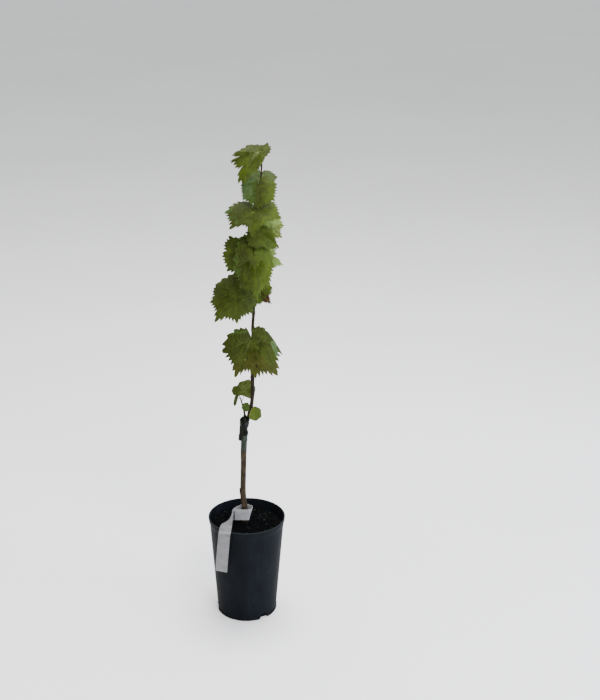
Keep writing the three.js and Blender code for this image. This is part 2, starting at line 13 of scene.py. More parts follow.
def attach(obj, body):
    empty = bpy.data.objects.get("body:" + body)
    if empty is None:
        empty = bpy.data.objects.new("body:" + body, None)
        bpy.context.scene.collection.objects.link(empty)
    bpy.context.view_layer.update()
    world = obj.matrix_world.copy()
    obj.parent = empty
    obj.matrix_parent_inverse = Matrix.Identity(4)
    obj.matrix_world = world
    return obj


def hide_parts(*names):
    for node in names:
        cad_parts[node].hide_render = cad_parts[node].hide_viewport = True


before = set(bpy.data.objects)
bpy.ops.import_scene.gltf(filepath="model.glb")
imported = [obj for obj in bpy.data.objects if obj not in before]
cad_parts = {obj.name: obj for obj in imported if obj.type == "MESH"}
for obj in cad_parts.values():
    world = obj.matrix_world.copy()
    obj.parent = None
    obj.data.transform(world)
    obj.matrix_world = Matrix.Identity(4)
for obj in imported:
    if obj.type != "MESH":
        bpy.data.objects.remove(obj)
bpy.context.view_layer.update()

MM = 0.001
TAU = 2 * math.pi

# The camera stands in front of the plant, a little above its top, and looks down on it
CAMERA_PLACE = Vector((0, -2400, 1492))
CAMERA_AIM = Vector((104, 0, 568))
CAMERA_LENS = 68.6
CAMERA_ROLL = 0.64

# The studio, in metres
FLOOR_SIZE = 30
LIGHT_AIM = Vector((0, 0, 0.5))
SKY_STRENGTH = 0.85

# The pot
POT_HEIGHT = 210
POT_RIM_RADIUS = 77.5
POT_BASE_RADIUS = 59.6
POT_SHOULDER_RADIUS = 74.4
POT_SHOULDER_HEIGHT = 194
POT_WALL = 1.8
# The top of the lip, this deep, takes a lighter finish: a painted highlight
POT_LIP_HIGHLIGHT_DEPTH = 0.7
POT_FLOOR = 2.6
POT_FOOT_HEIGHT = 7
POT_FOOT_RADIUS = 60.8
POT_SIDES = 192
POT_LIP_WIDTH = 2.8
POT_BAND_HEIGHT = 9
POT_ROUNDING = 1.0
DRAIN_WIDTH = 20
DRAIN_HEIGHT = 10.5
DRAIN_COUNT = 3
DRAIN_FIRST_AZIMUTH = 34.5
DRAIN_PLUG_START = 4
DRAIN_PLUG_LENGTH = 12
DRAIN_PLUG_DEPTH = 2

# The compost
SOIL_LEVEL = 194
SOIL_LUMP = 2.2
SOIL_EDGE_DROP = 3
SOIL_WAVE_LENGTHS = [30, 37, 57, 26]
SOIL_SIDES = 260
SOIL_RINGS = 80
SOIL_SETBACK = 0.75
SOIL_FOOT_SETBACK = 5
SOIL_FLOOR_GAP = 0.3
SOIL_CLODS = SimpleNamespace(size=11, height=1.2)
SOIL_GRAINS = SimpleNamespace(size=3.2, height=0.9)
SOIL_COLLAR_HEIGHT = 1.6
SOIL_COLLAR_WIDTH = 9
TRUNK_SEAT_RADIUS = 13
CRUMB_COUNT = 1500
CHIP_COUNT = 70
LOOSE_CLEARANCE = 9
LOOSE_ROUGHNESS = 0.35
LOOSE_TILT = 0.35

# The trunk
TRUNK_LINE = [
    (-3.4, 6.0, 188),
    (-3.6, 5.7, 215),
    (-5.0, 5.3, 234),
    (-7.0, 4.8, 252),
    (-7.3, 4.2, 270),
    (-6.8, 3.6, 290),
    (-5.9, 2.2, 334),
    (-5.1, 1.0, 366),
    (-4.6, 0.4, 382),
]
TRUNK_RADII = [
    (188, 8.6), (197, 7.4), (210, 6.4), (234, 5.5), (250, 6.2), (262, 5.8), (310, 5.4),
    (335, 5.6), (358, 6.2), (382, 6.3),
]
TRUNK_CUT = SOIL_LEVEL + 0.3
TRUNK_TOP = 378
TRUNK_SIDES = 72
TRUNK_RINGS = 270
BARK_STRIPS_ROUND = 2.6
FISSURE_DEPTH = 0.55
FISSURE_WIDTH = 0.16
FISSURE_LENGTH = 15
BARK_FIBRE_LENGTH = 6
BARK_FIBRE_HEIGHT = 0.16
BARK_LUMP_LENGTH = 22
BARK_LUMP_HEIGHT = 0.35
DIPPED_RELIEF = 0.35
DIP_HEIGHT = 355
DIP_RAGGED = 5
SPUR_LENGTH = 15
SPUR_RADIUS = 2.7
SPUR_HEIGHT = 255
SPUR_OFFSET = Vector((-3.6, -1.2, 0))
SPUR_DIRECTION = Vector((-0.16, -0.05, 1))

# The graft: knob, collar, the sawn stub of the rootstock and a run of wax down the left side
GRAFT_FOOT = 375.9
COLLAR_FOOT = 389.5
GRAFT_LINE = [(-4.6, 0.6, 372), (-3.6, 0.2, 395), (-3.9, 0, 412), (-4.0, 0, 427)]
GRAFT_RADII = [
    (376, 6.5), (387, 6.3), (391, 7.4), (394, 7.9), (398, 6.5), (403, 6.0), (408, 8.0),
    (413, 9.5), (421, 9.4), (425, 8.2), (427.5, 4.8),
]
STUB_FACE = Vector((0.4, -9.8, 417))
STUB_FACE_RADIUS = 4.35
STUB_ROOT_RADIUS = 6.2
STUB_LENGTH = 9
STUB_AZIMUTH = 32
STUB_RISE = 8
STUB_FLATNESS = 0.96
STUB_SKIN = 1.2
WAX_LINE = [(-6.8, -1, 415), (-8.2, -1.4, 404), (-9.2, -1, 392), (-12.4, 0, 378)]
WAX_RADII = [(0, 5.6), (0.4, 5.6), (0.75, 5.4), (1, 3.8)]
SHOOT_ROOT_START = (-2, 0, 417)
SPROUT_ROOT_START = (-3.4, 0, 418)
ROOT_BEND = 5
ROOT_SWELL = 0.45
ROOT_OVERLAP = 1.2
WAX_STEPS = 20
WAX_RUN_EDGE = 0.6
WAX_GRAIN = 0.4
WAX_MELT = 2
WAX_RIPPLE = 0.4
WAX_RIPPLE_LENGTH = 7

# The main shoot
SHOOT_LINE = [
    (4.0, 0, 427),
    (8.2, 0, 442),
    (12.2, 0, 474),
    (12.6, 0, 495),
    (12.0, 0, 520),
    (14.0, 0, 592),
    (12.6, 0, 611),
    (14.4, 0, 640),
    (18.0, 0, 720),
    (21.3, 0, 788),
    (25.5, 0, 850),
    (29.5, 0, 920),
    (30.5, 0, 957),
]
SHOOT_ROOT_RADIUS = 3.8
SHOOT_TIP_RADIUS = 1.4
SHOOT_SIDES = 20
SHOOT_RINGS = 420
NODE_SWELL = 0.2
NODE_LENGTH = 4.5
BARE_NODES = [478, 508, 524]
BARE_NODE_RADIUS = 3.4
RIB_COUNT = 9
RIB_HEIGHT = 0.03
SHOOT_GRAIN = 0.03
SHOOT_GRAIN_LENGTH = 9
SHOOT_TIP_SHARE = 0.004
BUD_LENGTH = 5.2
BUD_RADIUS = 1.5
BUD_RISE = 1.5

# A vine leaf in polar form round the top of its stalk: angle from the main tip, reach as a share of
# the leaf's size, and 1 where a lobe ends in a point
LEAF_FORM = [
    (0, 1.0, 1),
    (27, 0.81, 0),
    (54, 0.93, 1),
    (81, 0.78, 0),
    (108, 0.82, 1),
    (144, 0.66, 0),
    (168, 0.5, 0),
    (177, 0.16, 0),
    (180, 0.06, 0),
]
LATERAL_ANGLE = 54
LOBE_ANGLE = 108
HALF_LOBE = 27
BASAL_SPAN = 66
TOOTH_DEPTH = 0.14
TOOTH_SPREAD = 0.45
TOOTH_LEAN = 0.13
TOOTH_DEPTH_YOUNG = 0.045
SECOND_TOOTH_HEIGHT = 0.14
SECOND_TOOTH_PLACE = 0.6
SECOND_TOOTH_WIDTH = 0.24
TIP_NOTCH_SHARE = 0.5
TIP_NOTCH_WIDTH = 8
HEEL_FROM = 177
HEEL_REACH = 0.5
TOOTHLESS_FROM = 176
TOOTH_FADE = 14
LEAF_RIPPLE = 0.04
RIPPLE_WAVES = 5
BASAL_DROOP_SHARE = 0.5
LEAF_THICKNESS = 0.55
RING_SPACING = 2.5
RING_STEPS = [(0.12, 8), (0.3, 4), (0.78, 2), (2, 1)]
STATIONS_PER_TOOTH = 12
MARGIN_THINNING = 0.35
TONE_MOTTLE = 0.9
TIP_MOTTLE = 0.3
SMALL_LEAF = 35

# Veins run out to the lobes' tips, and finer ones leave them towards the teeth. Their places are
# shares of the way to the margin and their sizes shares of the leaf's size. Above the blade they
# stand out by VEIN_PROUD millimetres
VEIN_FIRST = 0.12
VEIN_STEP = 0.17
VEIN_ROOT_RADIUS = 0.0115
VEIN_PROUD = 0.03
VEIN_STEPS = 18
SIDE_VEIN_STEPS = 8
SIDE_VEIN_LAST = 0.85
SIDE_VEIN_END = 0.97
VEIN_TIP_SHARE = 0.2
SIDE_VEIN_SHARE = 0.5
SIDE_VEIN_TIP_SHARE = 0.4
BASAL_VEIN_SLANT = 1.2
PUCKER = 0.013
VEIN_SINK = 0.012
VEIN_SINK_WIDTH = 0.045

# A margin that is rolled under: shares of the leaf's size, and degrees
ROLL_RADIUS = 0.07
ROLL_START = 0.02
ROLL_TURN = 100
ROLL_SLUMP = 0.55

# Stalks: their radius is a share of the leaf's size and no less than the least one, in
# millimetres. Their bends are shares of their length, and the lengths of the swellings are in radii
STALK_RADIUS = 0.019
STALK_LEAST_RADIUS = 0.7
STALK_FOOT_SWELL = 0.7
STALK_SWELL_LENGTH = 3
STALK_OUT = 0.35
STALK_UP = 0.1
STALK_BEHIND = 0.3
STALK_FORWARD = 0.04
STALK_WAIST = 0.82
STALK_TOP_SWELL = 0.15
STALK_TOP_LENGTH = 1.5
STALK_SIDES = 10
STALK_RINGS = 22

# The numbers of the leaves' finishes. The tones from blue-green to pale green follow the blade;
# the blue-green one is painted sheen
SHEEN_BLUE_TONE = 0
PALE_TONE = 7
RED_TONE = 8
BRONZE_TONE = 9
WITHERED_TONE = 10
UNDERSIDE = 11
VEIN = 12
STALK = 13

# Tones are the leaf's colour and painted light and shade, above all the change to the right.
# The leaves from the lowest up. Each has its node's height on the shoot, the top of its stalk, its
# size, where its face looks (degrees to the right of the front, then above level), how far its tip
# is turned to the right, how far it droops, and the fold and curl of its left and right halves. The
# rest shapes its outline. Its tone is a number at the stalk, the change to the main tip and the
# change to the right. A value that is given as a pair is the left half's and the right half's.
# A cut is a notch in the margin: its direction in degrees from the main tip, to the left below
# zero, its half width in degrees, and its depth as a share. Below zero the depth makes a bulge.
# A spot is its place, as a share of the way out and a direction, its radius in millimetres and its
# tone. From tip_from on, as a share of the way out, the tip has a tone of its own. A crease is the
# direction and the place beyond which the margin is rolled under.
LEAF_DEFAULTS = dict(
    spread=0.9, wide=1, tip=1, lateral=1, base=1, sinus=0, outer=0.8, sharp=1.5, blunt=0.05,
    heel=0, fold=10, curl=-20, fan=None, crease=None, cuts=(), tone=(3, 0.5, 0), tip_from=2,
    tip_tone=RED_TONE, spots=(),
)
BEHIND = dict(droop=30, fold=8, curl=-35)
YOUNG = dict(blunt=0.3, heel=1, sharp=1.2, sinus=-0.08)
LEAVES = [
    dict(node=436, at=(15, -7, 438.5), size=17, face=(20, 20), turn=60, droop=10,
         tone=(4.6, -1, 0), **YOUNG),
    dict(node=446, at=(1, -3, 450), size=11, face=(-15, 25), turn=-80, droop=10,
         tone=(1, 0, 0), **YOUNG),
    dict(node=540, at=(10, 34, 566), size=56, face=(180, 38), turn=6, tone=(3, 1, 0), **BEHIND),
    dict(node=560, at=(10, -34, 602), size=83, face=(2, 40), turn=5, droop=26, base=0.68,
         fold=(6, 12), curl=(-50, -55), spread=0.68, fan=31, tip=0.9, lateral=(1.05, 1.12),
         wide=(0.93, 0.97), sinus=(0.05, -0.06), outer=0.3, blunt=(0.1, 0.2), crease=(118, 0.41),
         cuts=((-134, 28, -0.2), (-106, 12, 0.08)), tone=(2.4, 1, 0.3), tip_from=0.44,
         tip_tone=BRONZE_TONE,
         spots=((0.76, 8, 3.4, WITHERED_TONE), (0.66, -4, 2.4, WITHERED_TONE),
                (0.86, 16, 2.2, WITHERED_TONE), (0.6, -36, 2.2, WITHERED_TONE),
                (0.3, 62, 1.5, PALE_TONE), (0.62, -44, 1.6, PALE_TONE),
                # blue-green spots along the rolled right margin: painted sheen
                (0.7, 106, 7, SHEEN_BLUE_TONE), (0.77, 98, 7, SHEEN_BLUE_TONE), (0.84, 92, 7, SHEEN_BLUE_TONE),
                (0.91, 87, 6, SHEEN_BLUE_TONE), (0.97, 83, 5, SHEEN_BLUE_TONE))),
    dict(node=662, at=(-17, -26, 696), size=73, face=(-12, 26), turn=-34, droop=24, base=0.95,
         fold=(-8, -16), curl=(-60, -45), spread=0.68, wide=0.92, cuts=((-92, 36, -0.2),),
         tone=(2.6, 0.2, 0.3)),
    dict(node=668, at=(22, 9, 687), size=40, face=(0, 10), turn=44, droop=20,
         spread=0.55, fan=22, lateral=0.72, wide=0.85, tone=(4, 0, 0), tip_from=0.6),
    dict(node=644, at=(4, 38, 700), size=53, face=(184, 36), turn=-8, tone=(2.6, 1, 0.5),
         **BEHIND),
    dict(node=738, at=(35, 8, 759), size=44, face=(0, 8), turn=58, droop=20, fold=(8, -24),
         spread=0.6, lateral=(0.82, 0.5), wide=(1, 0.55), tone=(7.4, 0, 0)),
    dict(node=707, at=(16, -44, 769), size=78, face=(4, 28), turn=3, droop=24, tip=1.06,
         fold=(0, -16), curl=(-35, -45), spread=0.66, wide=0.7, sinus=-0.05,
         tone=(3.3, 0.5, 2), spots=((0.27, 165, 1.6, PALE_TONE),)),
    dict(node=752, at=(-2, -10, 768), size=52, face=(-6, 16), turn=-42, droop=20, blunt=0.02,
         spread=0.85, lateral=0.9, sinus=-0.04, outer=1, cuts=((-127, 16, 0.24), (-60, 12, 0.1)),
         tone=(3.3, 0, 0.4)),
    dict(node=772, at=(20, 42, 769), size=54, face=(176, 38), turn=10, tone=(3.4, 0.5, -0.5),
         **BEHIND),
    dict(node=786, at=(28, -25, 810), size=46, face=(10, 34), turn=50, droop=30,
         spread=(0.9, 0.6), fan=(48, 30), lateral=(0.66, 0.8), wide=(0.95, 0.5),
         tone=(3.5, 0.4, 0.4)),
    dict(node=800, at=(36, 8, 820), size=45, face=(0, 6), turn=48, droop=15, fold=(8, -24),
         spread=0.75, fan=(40, 30), tone=(6.9, -0.8, 0)),
    dict(node=850, at=(18, 38, 838), size=50, face=(182, 38), turn=-6, tone=(3.8, 0.5, 0),
         **BEHIND),
    dict(node=828, at=(13, -34, 851), size=59, face=(-2, 56), turn=0, droop=52,
         curl=-30, wide=1.08, tip=0.84, lateral=(0.96, 0.92), sinus=0.25, outer=0, sharp=1.8,
         spread=(0.84, 1.18), fan=(48, 80), tone=(2.8, 0.3, 1.3),
         spots=((0.02, 0, 2.0, PALE_TONE),)),
    dict(node=884, at=(28, 26, 904), size=40, face=(180, 38), turn=8, tone=(4.2, 0.5, 0),
         **BEHIND),
    dict(node=872, at=(24, -22, 896), size=43, face=(6, 38), turn=-4, droop=35,
         fold=(0, 10), curl=(-50, -30), spread=0.93, sinus=-0.04, tone=(1.8, 0.6, 2.8)),
    dict(node=932, at=(23, -14, 958), size=70, face=(-12, 60), turn=-20, droop=58, heel=1,
         base=(0.66, 1), fold=(-6, -30), curl=(-25, -35), sinus=(0.26, 0.1), outer=1.6,
         sharp=0.5, blunt=(0.6, 0.05), spread=(0.72, 0.8), fan=(46, 40), lateral=(0.84, 0.78),
         wide=(0.95, 0.5), cuts=((-126, 26, 0.32), (-75, 13, -0.32), (112, 44, 0.42)),
         tone=(3, 0.8, 0.2), spots=((0.03, 0, 2.4, PALE_TONE),)),
]

# The small sprout beside the graft
SPROUT_LINE = [(-3.0, 0.5, 431), (-5.5, 3, 444), (-9.5, 7, 458), (-13.5, 9, 470)]
SPROUT_ROOT_RADIUS = 2.3
SPROUT_TIP_RADIUS = 1.0
SPROUT_LEAVES = [
    dict(along=0.72, at=(-3, 12, 475), size=27, face=(6, 8), turn=160, droop=10,
         wide=0.88, base=0.6, tone=(5.6, 0.2, 0), **YOUNG),
    dict(along=0.97, at=(-18, 8, 480), size=12, face=(-20, 15), turn=-85, droop=15,
         tone=(3.5, 0, 0), **YOUNG),
    dict(along=0.85, at=(-20, 5, 464), size=22, face=(-20, 0), turn=-16, droop=40, wide=0.2,
         tone=(1.6, 0, 0), **YOUNG),
]

# The blank strip label: its centre line round the trunk's foot and over the rim, each with the
# direction of its width
LABEL_WIDTH = 24
LABEL_THICKNESS = 0.4
LABEL_STEPS = 176
LABEL_ROWS = 8
# From this share of the strip on, the tail takes the darker film: painted shade
LABEL_PAINTED_SHADE_FROM = 0.52
LABEL_LINE = [
    ((-24, -6.9, 215.5), (0, 0, 1)),
    ((-7, -7.0, 215), (0, 0, 1)),
    ((5.6, -5.2, 215), (0.2, 0.05, 1)),
    ((8.4, 8, 215), (0.28, 0, 1)),
    ((-3, 18.5, 215), (0, -0.05, 1)),
    ((-18, 11, 214), (0, 0, 1)),
    ((-28, -2.5, 213), (0, 0, 1)),
    ((-33, -16, 213.5), (0.4, 0.1, 0.9)),
    ((-38, -34, 215.5), (0.85, -0.1, 0.5)),
    ((-42, -54, 211.4), (0.97, -0.22, 0.04)),
    ((-43.5, -70, 210.2), (0.97, -0.22, 0)),
    ((-44.5, -74.2, 207.0), (0.97, -0.22, 0)),
    ((-46, -76, 190), (0.97, -0.22, 0)),
    ((-49, -74, 155), (0.97, -0.22, 0.03)),
    ((-51.5, -72, 123), (0.97, -0.22, 0.06)),
]


# Numbers
def clamp(value, low=0.0, high=1.0):
    return min(max(value, low), high)


def mix(start, end, share):
    return start + (end - start) * share


def smooth_step(value, low, high):
    share = clamp((value - low) / (high - low))
    return share * share * (3 - 2 * share)


def value_at(rows, place):
    """The straight-line value between rows of (place, value)."""
    if place <= rows[0][0]:
        return rows[0][1]
    for (x0, y0), (x1, y1) in zip(rows, rows[1:]):
        if place < x1:
            return mix(y0, y1, (place - x0) / (x1 - x0))
    return rows[-1][1]


def direction(azimuth, elevation):
    """The way that looks this many degrees to the right of the front and above level."""
    azimuth, elevation = math.radians(azimuth), math.radians(elevation)
    level = math.cos(elevation)
    return Vector((math.sin(azimuth) * level, -math.cos(azimuth) * level, math.sin(elevation)))


class Line:
    """A smooth curve through points, walked evenly along its length."""

    FINENESS = 40

    def __init__(self, points):
        self.points = [Vector(point) for point in points]
        count = (len(self.points) - 1) * self.FINENESS
        self.samples = [self.by_point(i / count) for i in range(count + 1)]
        self.lengths = [0.0]
        for before, after in zip(self.samples, self.samples[1:]):
            self.lengths.append(self.lengths[-1] + (after - before).length)

    def by_point(self, share):
        """Centripetal Catmull-Rom: share counts the points, not the length."""
        points = self.points
        spans = len(points) - 1
        span = min(int(share * spans), spans - 1)
        weight = share * spans - span
        p1, p2 = points[span], points[span + 1]
        p0 = points[span - 1] if span > 0 else p1 * 2 - p2
        p3 = points[span + 2] if span + 2 < len(points) else p2 * 2 - p1
        d0, d1, d2 = (math.sqrt((b - a).length) for a, b in ((p0, p1), (p1, p2), (p2, p3)))
        d1 = d1 or 1.0
        d0 = d0 or d1
        d2 = d2 or d1
        leave = ((p1 - p0) / d0 - (p2 - p0) / (d0 + d1) + (p2 - p1) / d1) * d1
        arrive = ((p2 - p1) / d1 - (p3 - p1) / (d1 + d2) + (p3 - p2) / d2) * d1
        square = (p2 - p1) * 3 - leave * 2 - arrive
        cube = (p1 - p2) * 2 + leave + arrive
        return p1 + leave * weight + square * weight**2 + cube * weight**3

    def at(self, share):
        target = share * self.lengths[-1]
        low, high = 0, len(self.lengths) - 1
        while high - low > 1:
            middle = (low + high) // 2
            if self.lengths[middle] <= target:
                low = middle
            else:
                high = middle
        step = self.lengths[high] - self.lengths[low]
        share = clamp((target - self.lengths[low]) / step)
        return self.samples[low].lerp(self.samples[high], share)

    def at_height(self, height):
        low, high = 0.0, 1.0
        while high - low > 1e-6:
            middle = (low + high) / 2
            if self.at(middle).z < height:
                low = middle
            else:
                high = middle
        return self.at(low)

    def places(self, steps):
        return [self.at(i / steps) for i in range(steps + 1)]


def bezier(p0, p1, p2, p3, share):
    rest = 1 - share
    return p0 * rest**3 + p1 * (3 * rest**2 * share) + p2 * (3 * rest * share**2) + p3 * share**3


# Meshes
class Shape:
    """Corners in millimetres and faces, each with the number of its finish."""

    def __init__(self):
        self.corners = []
        self.faces = []
        self.finishes = []

    def corner(self, place):
        self.corners.append(Vector(place))
        return len(self.corners) - 1

    def face(self, corners, finish=0):
        self.faces.append(tuple(corners))
        self.finishes.append(finish)

    def ring(self, places):
        return [self.corner(place) for place in places]

    def circle(self, radius, height, sides):
        turns = [TAU * i / sides for i in range(sides)]
        return self.ring([(radius * math.cos(t), radius * math.sin(t), height) for t in turns])

    def join_rings(self, *rings, finish=0):
        for lower, upper in zip(rings, rings[1:]):
            for i, here in enumerate(lower):
                j = (i + 1) % len(lower)
                self.face((here, lower[j], upper[j], upper[i]), finish)

    def cap(self, ring, centre, finish=0, upward=True):
        top = self.corner(centre)
        for here, after in zip(ring, ring[1:] + ring[:1]):
            self.face((here, after, top) if upward else (after, here, top), finish)

    def tube(self, centres, radius_at, sides, finish=0):
        """A closed limb round a row of centres; radius_at takes share, centre and turn."""
        last = len(centres) - 1
        across = None
        rings = []
        for i, centre in enumerate(centres):
            ahead = (centres[min(i + 1, last)] - centres[max(i - 1, 0)]).normalized()
            if across is None:
                across = ahead.orthogonal().normalized()
            across = (across - ahead * ahead.dot(across)).normalized()
            beside = ahead.cross(across)
            places = []
            for j in range(sides):
                turn = TAU * j / sides
                radius = radius_at(i / last, centre, turn)
                places.append(centre + (across * math.cos(turn) + beside * math.sin(turn)) * radius)
            rings.append(self.ring(places))
        self.join_rings(*rings, finish=finish)
        self.cap(rings[0], centres[0], finish, upward=False)
        self.cap(rings[-1], centres[-1], finish)

    def mesh(self, name):
        made = bpy.data.meshes.new(name)
        made.from_pydata([place * MM for place in self.corners], [], self.faces)
        made.update()
        return made


def make_object(name, mesh):
    piece = bpy.data.objects.new(name, mesh)
    bpy.context.scene.collection.objects.link(piece)
    return piece


def discard(piece):
    mesh = piece.data
    bpy.data.objects.remove(piece)
    bpy.data.meshes.remove(mesh)


def evaluated_mesh(piece, name):
    """The piece's mesh with its modifiers applied; the piece itself is discarded."""
    depsgraph = bpy.context.evaluated_depsgraph_get()
    made = bpy.data.meshes.new_from_object(piece.evaluated_get(depsgraph))
    made.name = name
    discard(piece)
    return made


def dress(mesh, finishes, sharp_over=None):
    """Gives a mesh its finishes and soft shading; edges over an angle in degrees stay sharp."""
    mesh.materials.clear()
    for finish in finishes:
        mesh.materials.append(finish)
    mesh.polygons.foreach_set("use_smooth", [True] * len(mesh.polygons))
    if sharp_over is not None:
        mesh.set_sharp_from_angle(angle=math.radians(sharp_over))


def settle(name, mesh, node):
    """Puts a mesh in the place of its node, which it hides, on the part's one body."""
    piece = make_object(name, mesh)
    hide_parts(node)
    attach(piece, "root")


def add_piece(name, shape, finishes, node, sharp_over=None):
    mesh = shape.mesh(name)
    dress(mesh, finishes, sharp_over)
    mesh.polygons.foreach_set("material_index", shape.finishes)
    settle(name, mesh, node)


# Finishes
def linear(colour, shade=1.0):
    """Turns an sRGB hex colour, times a shade, to linear red, green, blue and alpha."""
    parts = [int(colour[i : i + 2], 16) / 255 for i in (1, 3, 5)]
    parts = [c / 12.92 if c <= 0.04045 else ((c + 0.055) / 1.055) ** 2.4 for c in parts]
    return tuple(part * shade for part in parts) + (1.0,)


def add_node(tree, kind, settings=None, links=None):
    """Adds a node: settings go to its sockets or its own values, links join sockets to it."""
    made = tree.nodes.new(kind)
    for key, value in (settings or {}).items():
        if isinstance(key, int) or key in made.inputs:
            made.inputs[key].default_value = value
        else:
            setattr(made, key, value)
    for key, source in (links or {}).items():
        tree.links.new(source, made.inputs[key])
    return made


def make_finish(
    name, patterns, stops, rough, ior=1.5, specular=0.5, bumps=(), over=None, net=None
):
    """A material on one Principled shader, over soft noise. Each pattern is named and has the size
    of its cells in millimetres, its detail, its roughness and how far it is drawn out upwards. The
    stops colour the first pattern; where rough is a pair, that pattern moves between the two. A
    bump is a pattern and its depth in millimetres. Over lays a second pattern in its own colours on
    the first: how it blends, how strongly, the pattern and its stops. Net adds one more pattern,
    flat cushions of that size in millimetres with grooves between them."""
    made = bpy.data.materials.new(name)
    made.use_nodes = True
    tree = made.node_tree
    tree.nodes.clear()
    shader = add_node(
        tree, "ShaderNodeBsdfPrincipled", {"IOR": ior, "Specular IOR Level": specular}
    )
    add_node(tree, "ShaderNodeOutputMaterial", links={"Surface": shader.outputs["BSDF"]})
    places = {"Vector": add_node(tree, "ShaderNodeTexCoord").outputs["Object"]}
    texture = {}
    for key, (size, detail, roughness, stretch) in patterns.items():
        drawn = add_node(tree, "ShaderNodeMapping", {"Scale": (1, 1, 1 / stretch)}, places)
        settings = {"Scale": 1 / (size * MM), "Detail": detail, "Roughness": roughness}
        links = {"Vector": drawn.outputs["Vector"]}
        texture[key] = add_node(tree, "ShaderNodeTexNoise", settings, links).outputs["Fac"]
    if net:
        settings = {"feature": "DISTANCE_TO_EDGE", "Scale": 1 / (net * MM)}
        edges = add_node(tree, "ShaderNodeTexVoronoi", settings, places)
        links = {"Value": edges.outputs["Distance"]}
        grooves = add_node(tree, "ShaderNodeMapRange", {"From Max": 0.25}, links)
        texture["net"] = grooves.outputs["Result"]
    first = next(iter(patterns))
    layers = []
    for key, rows in [(first, stops)] + ([over[2:]] if over else []):
        ramp = add_node(tree, "ShaderNodeValToRGB", links={"Fac": texture[key]})
        elements = ramp.color_ramp.elements
        while len(elements) < len(rows):
            elements.new(0.5)
        for element, (place, *colour) in zip(elements, rows):
            element.position = place
            element.color = linear(*colour)
        layers.append(ramp.outputs["Color"])
    skin = layers[0]
    if over:
        settings = {"data_type": "RGBA", "blend_type": over[0], 0: over[1]}
        skin = add_node(tree, "ShaderNodeMix", settings, dict(zip((6, 7), layers))).outputs[2]
    tree.links.new(skin, shader.inputs["Base Color"])
    if isinstance(rough, tuple):
        settings = {"From Min": 0.3, "From Max": 0.7, "To Min": rough[0], "To Max": rough[1]}
        moved = add_node(tree, "ShaderNodeMapRange", settings, {"Value": texture[first]})
        tree.links.new(moved.outputs["Result"], shader.inputs["Roughness"])
    else:
        shader.inputs["Roughness"].default_value = rough
    normal = {}
    for key, depth in bumps:
        settings = {"Strength": 1.0, "Distance": depth * MM}
        relief = add_node(tree, "ShaderNodeBump", settings, {"Height": texture[key], **normal})
        normal = {"Normal": relief.outputs["Normal"]}
    for socket, source in normal.items():
        tree.links.new(source, shader.inputs[socket])
    return made


def moulded_polypropylene(name, dark, middle, dusty):
    """Dark slate polypropylene, injection moulded: satin, with a fine matt grain, faint flow
    lines and a little dried dust, so the light lies on it as a soft broad band."""
    patterns = {
        "dust": (26, 6, 0.65, 2.2),
        "flow": (9, 2, 0.5, 9),
        "specks": (2.2, 2, 0.5, 1),
        "grain": (0.5, 2, 0.5, 1),
    }
    stops = [(0.35, dark), (0.6, middle), (0.8, dusty)]
    specks = [(0.0, "#000000"), (0.73, "#000000"), (0.8, "#26292d")]
    return make_finish(
        name, patterns, stops, (0.45, 0.6), ior=1.49, specular=0.025,
        bumps=[("grain", 0.03), ("flow", 0.12)], over=("LIGHTEN", 0.6, "specks", specks),
    )


# The second finish, lighter, is a painted highlight on the top of the lip
POT_FINISHES = [
    moulded_polypropylene("moulded polypropylene", "#0f1114", "#14171b", "#1d2128"),
    moulded_polypropylene("polypropylene, painted lip highlight", "#1a1d20", "#272b2f", "#383c40"),
]

# Damp peat compost, crumbled: black in the hollows, hardly lighter on the crumbs, matt
DAMP_PEAT = make_finish(
    "damp peat compost", {"crumbs": (2.4, 6, 0.7, 1)},
    [(0.3, "#010202"), (0.55, "#040506"), (0.78, "#0b0c0d")],
    0.92, ior=1.35, specular=0.1, bumps=[("crumbs", 1.1)],
)

# Bits of composted bark and straw on the compost: dry, matt and grey-brown
BARK_CHIPS = make_finish(
    "composted bark chips", {"grain": (1.5, 4, 0.5, 1)},
    [(0.3, "#12110f"), (0.6, "#24211d"), (0.8, "#443d35")],
    0.9, ior=1.4, bumps=[("grain", 0.3)],
)

# Two-year vine bark: brown fibrous strips, split along the stem, paler where they lift
VINE_BARK = make_finish(
    "young vine bark",
    {"strips": (1.5, 5, 0.6, 9), "patches": (16, 3, 0.5, 2), "fibres": (0.5, 3, 0.5, 14)},
    [(0.3, "#19120d"), (0.46, "#31271b"), (0.6, "#4a3e2c"), (0.76, "#6a5d46")],
    0.86, ior=1.42, specular=0.25, bumps=[("strips", 0.35), ("fibres", 0.12)],
    over=("MULTIPLY", 0.8, "patches", [(0.35, "#8d8578"), (0.65, "#ffffff")]),
)

# Bark dipped in thin grafting wax: blue-green, half dull, with the bark showing through
DIPPED_BARK = make_finish(
    "wax-dipped bark", {"film": (5, 5, 0.65, 4)},
    [(0.3, "#121713"), (0.5, "#222a21"), (0.68, "#343c2e"), (0.82, "#453e2b")],
    (0.36, 0.6), ior=1.44, specular=0.18, bumps=[("film", 0.25)],
)

# Dark green grafting wax, dipped and set: rounded, with a soft wet-looking sheen
GRAFTING_WAX = make_finish(
    "dark grafting wax", {"skin": (4, 4, 0.5, 1)},
    [(0.3, "#050702"), (0.55, "#0c0f07"), (0.8, "#1d2115")],
    (0.28, 0.48), ior=1.45, specular=0.08, bumps=[("skin", 0.5)],
)

# The sawn stub under its film of wax: flat, greyer and lighter than the wax round it
END_GRAIN = make_finish(
    "waxed end grain", {"saw": (1.2, 4, 0.5, 1)},
    [(0.3, "#0f1110"), (0.6, "#181a18"), (0.8, "#272a26")],
    0.5, ior=1.45, specular=0.15, bumps=[("saw", 0.2)],
)

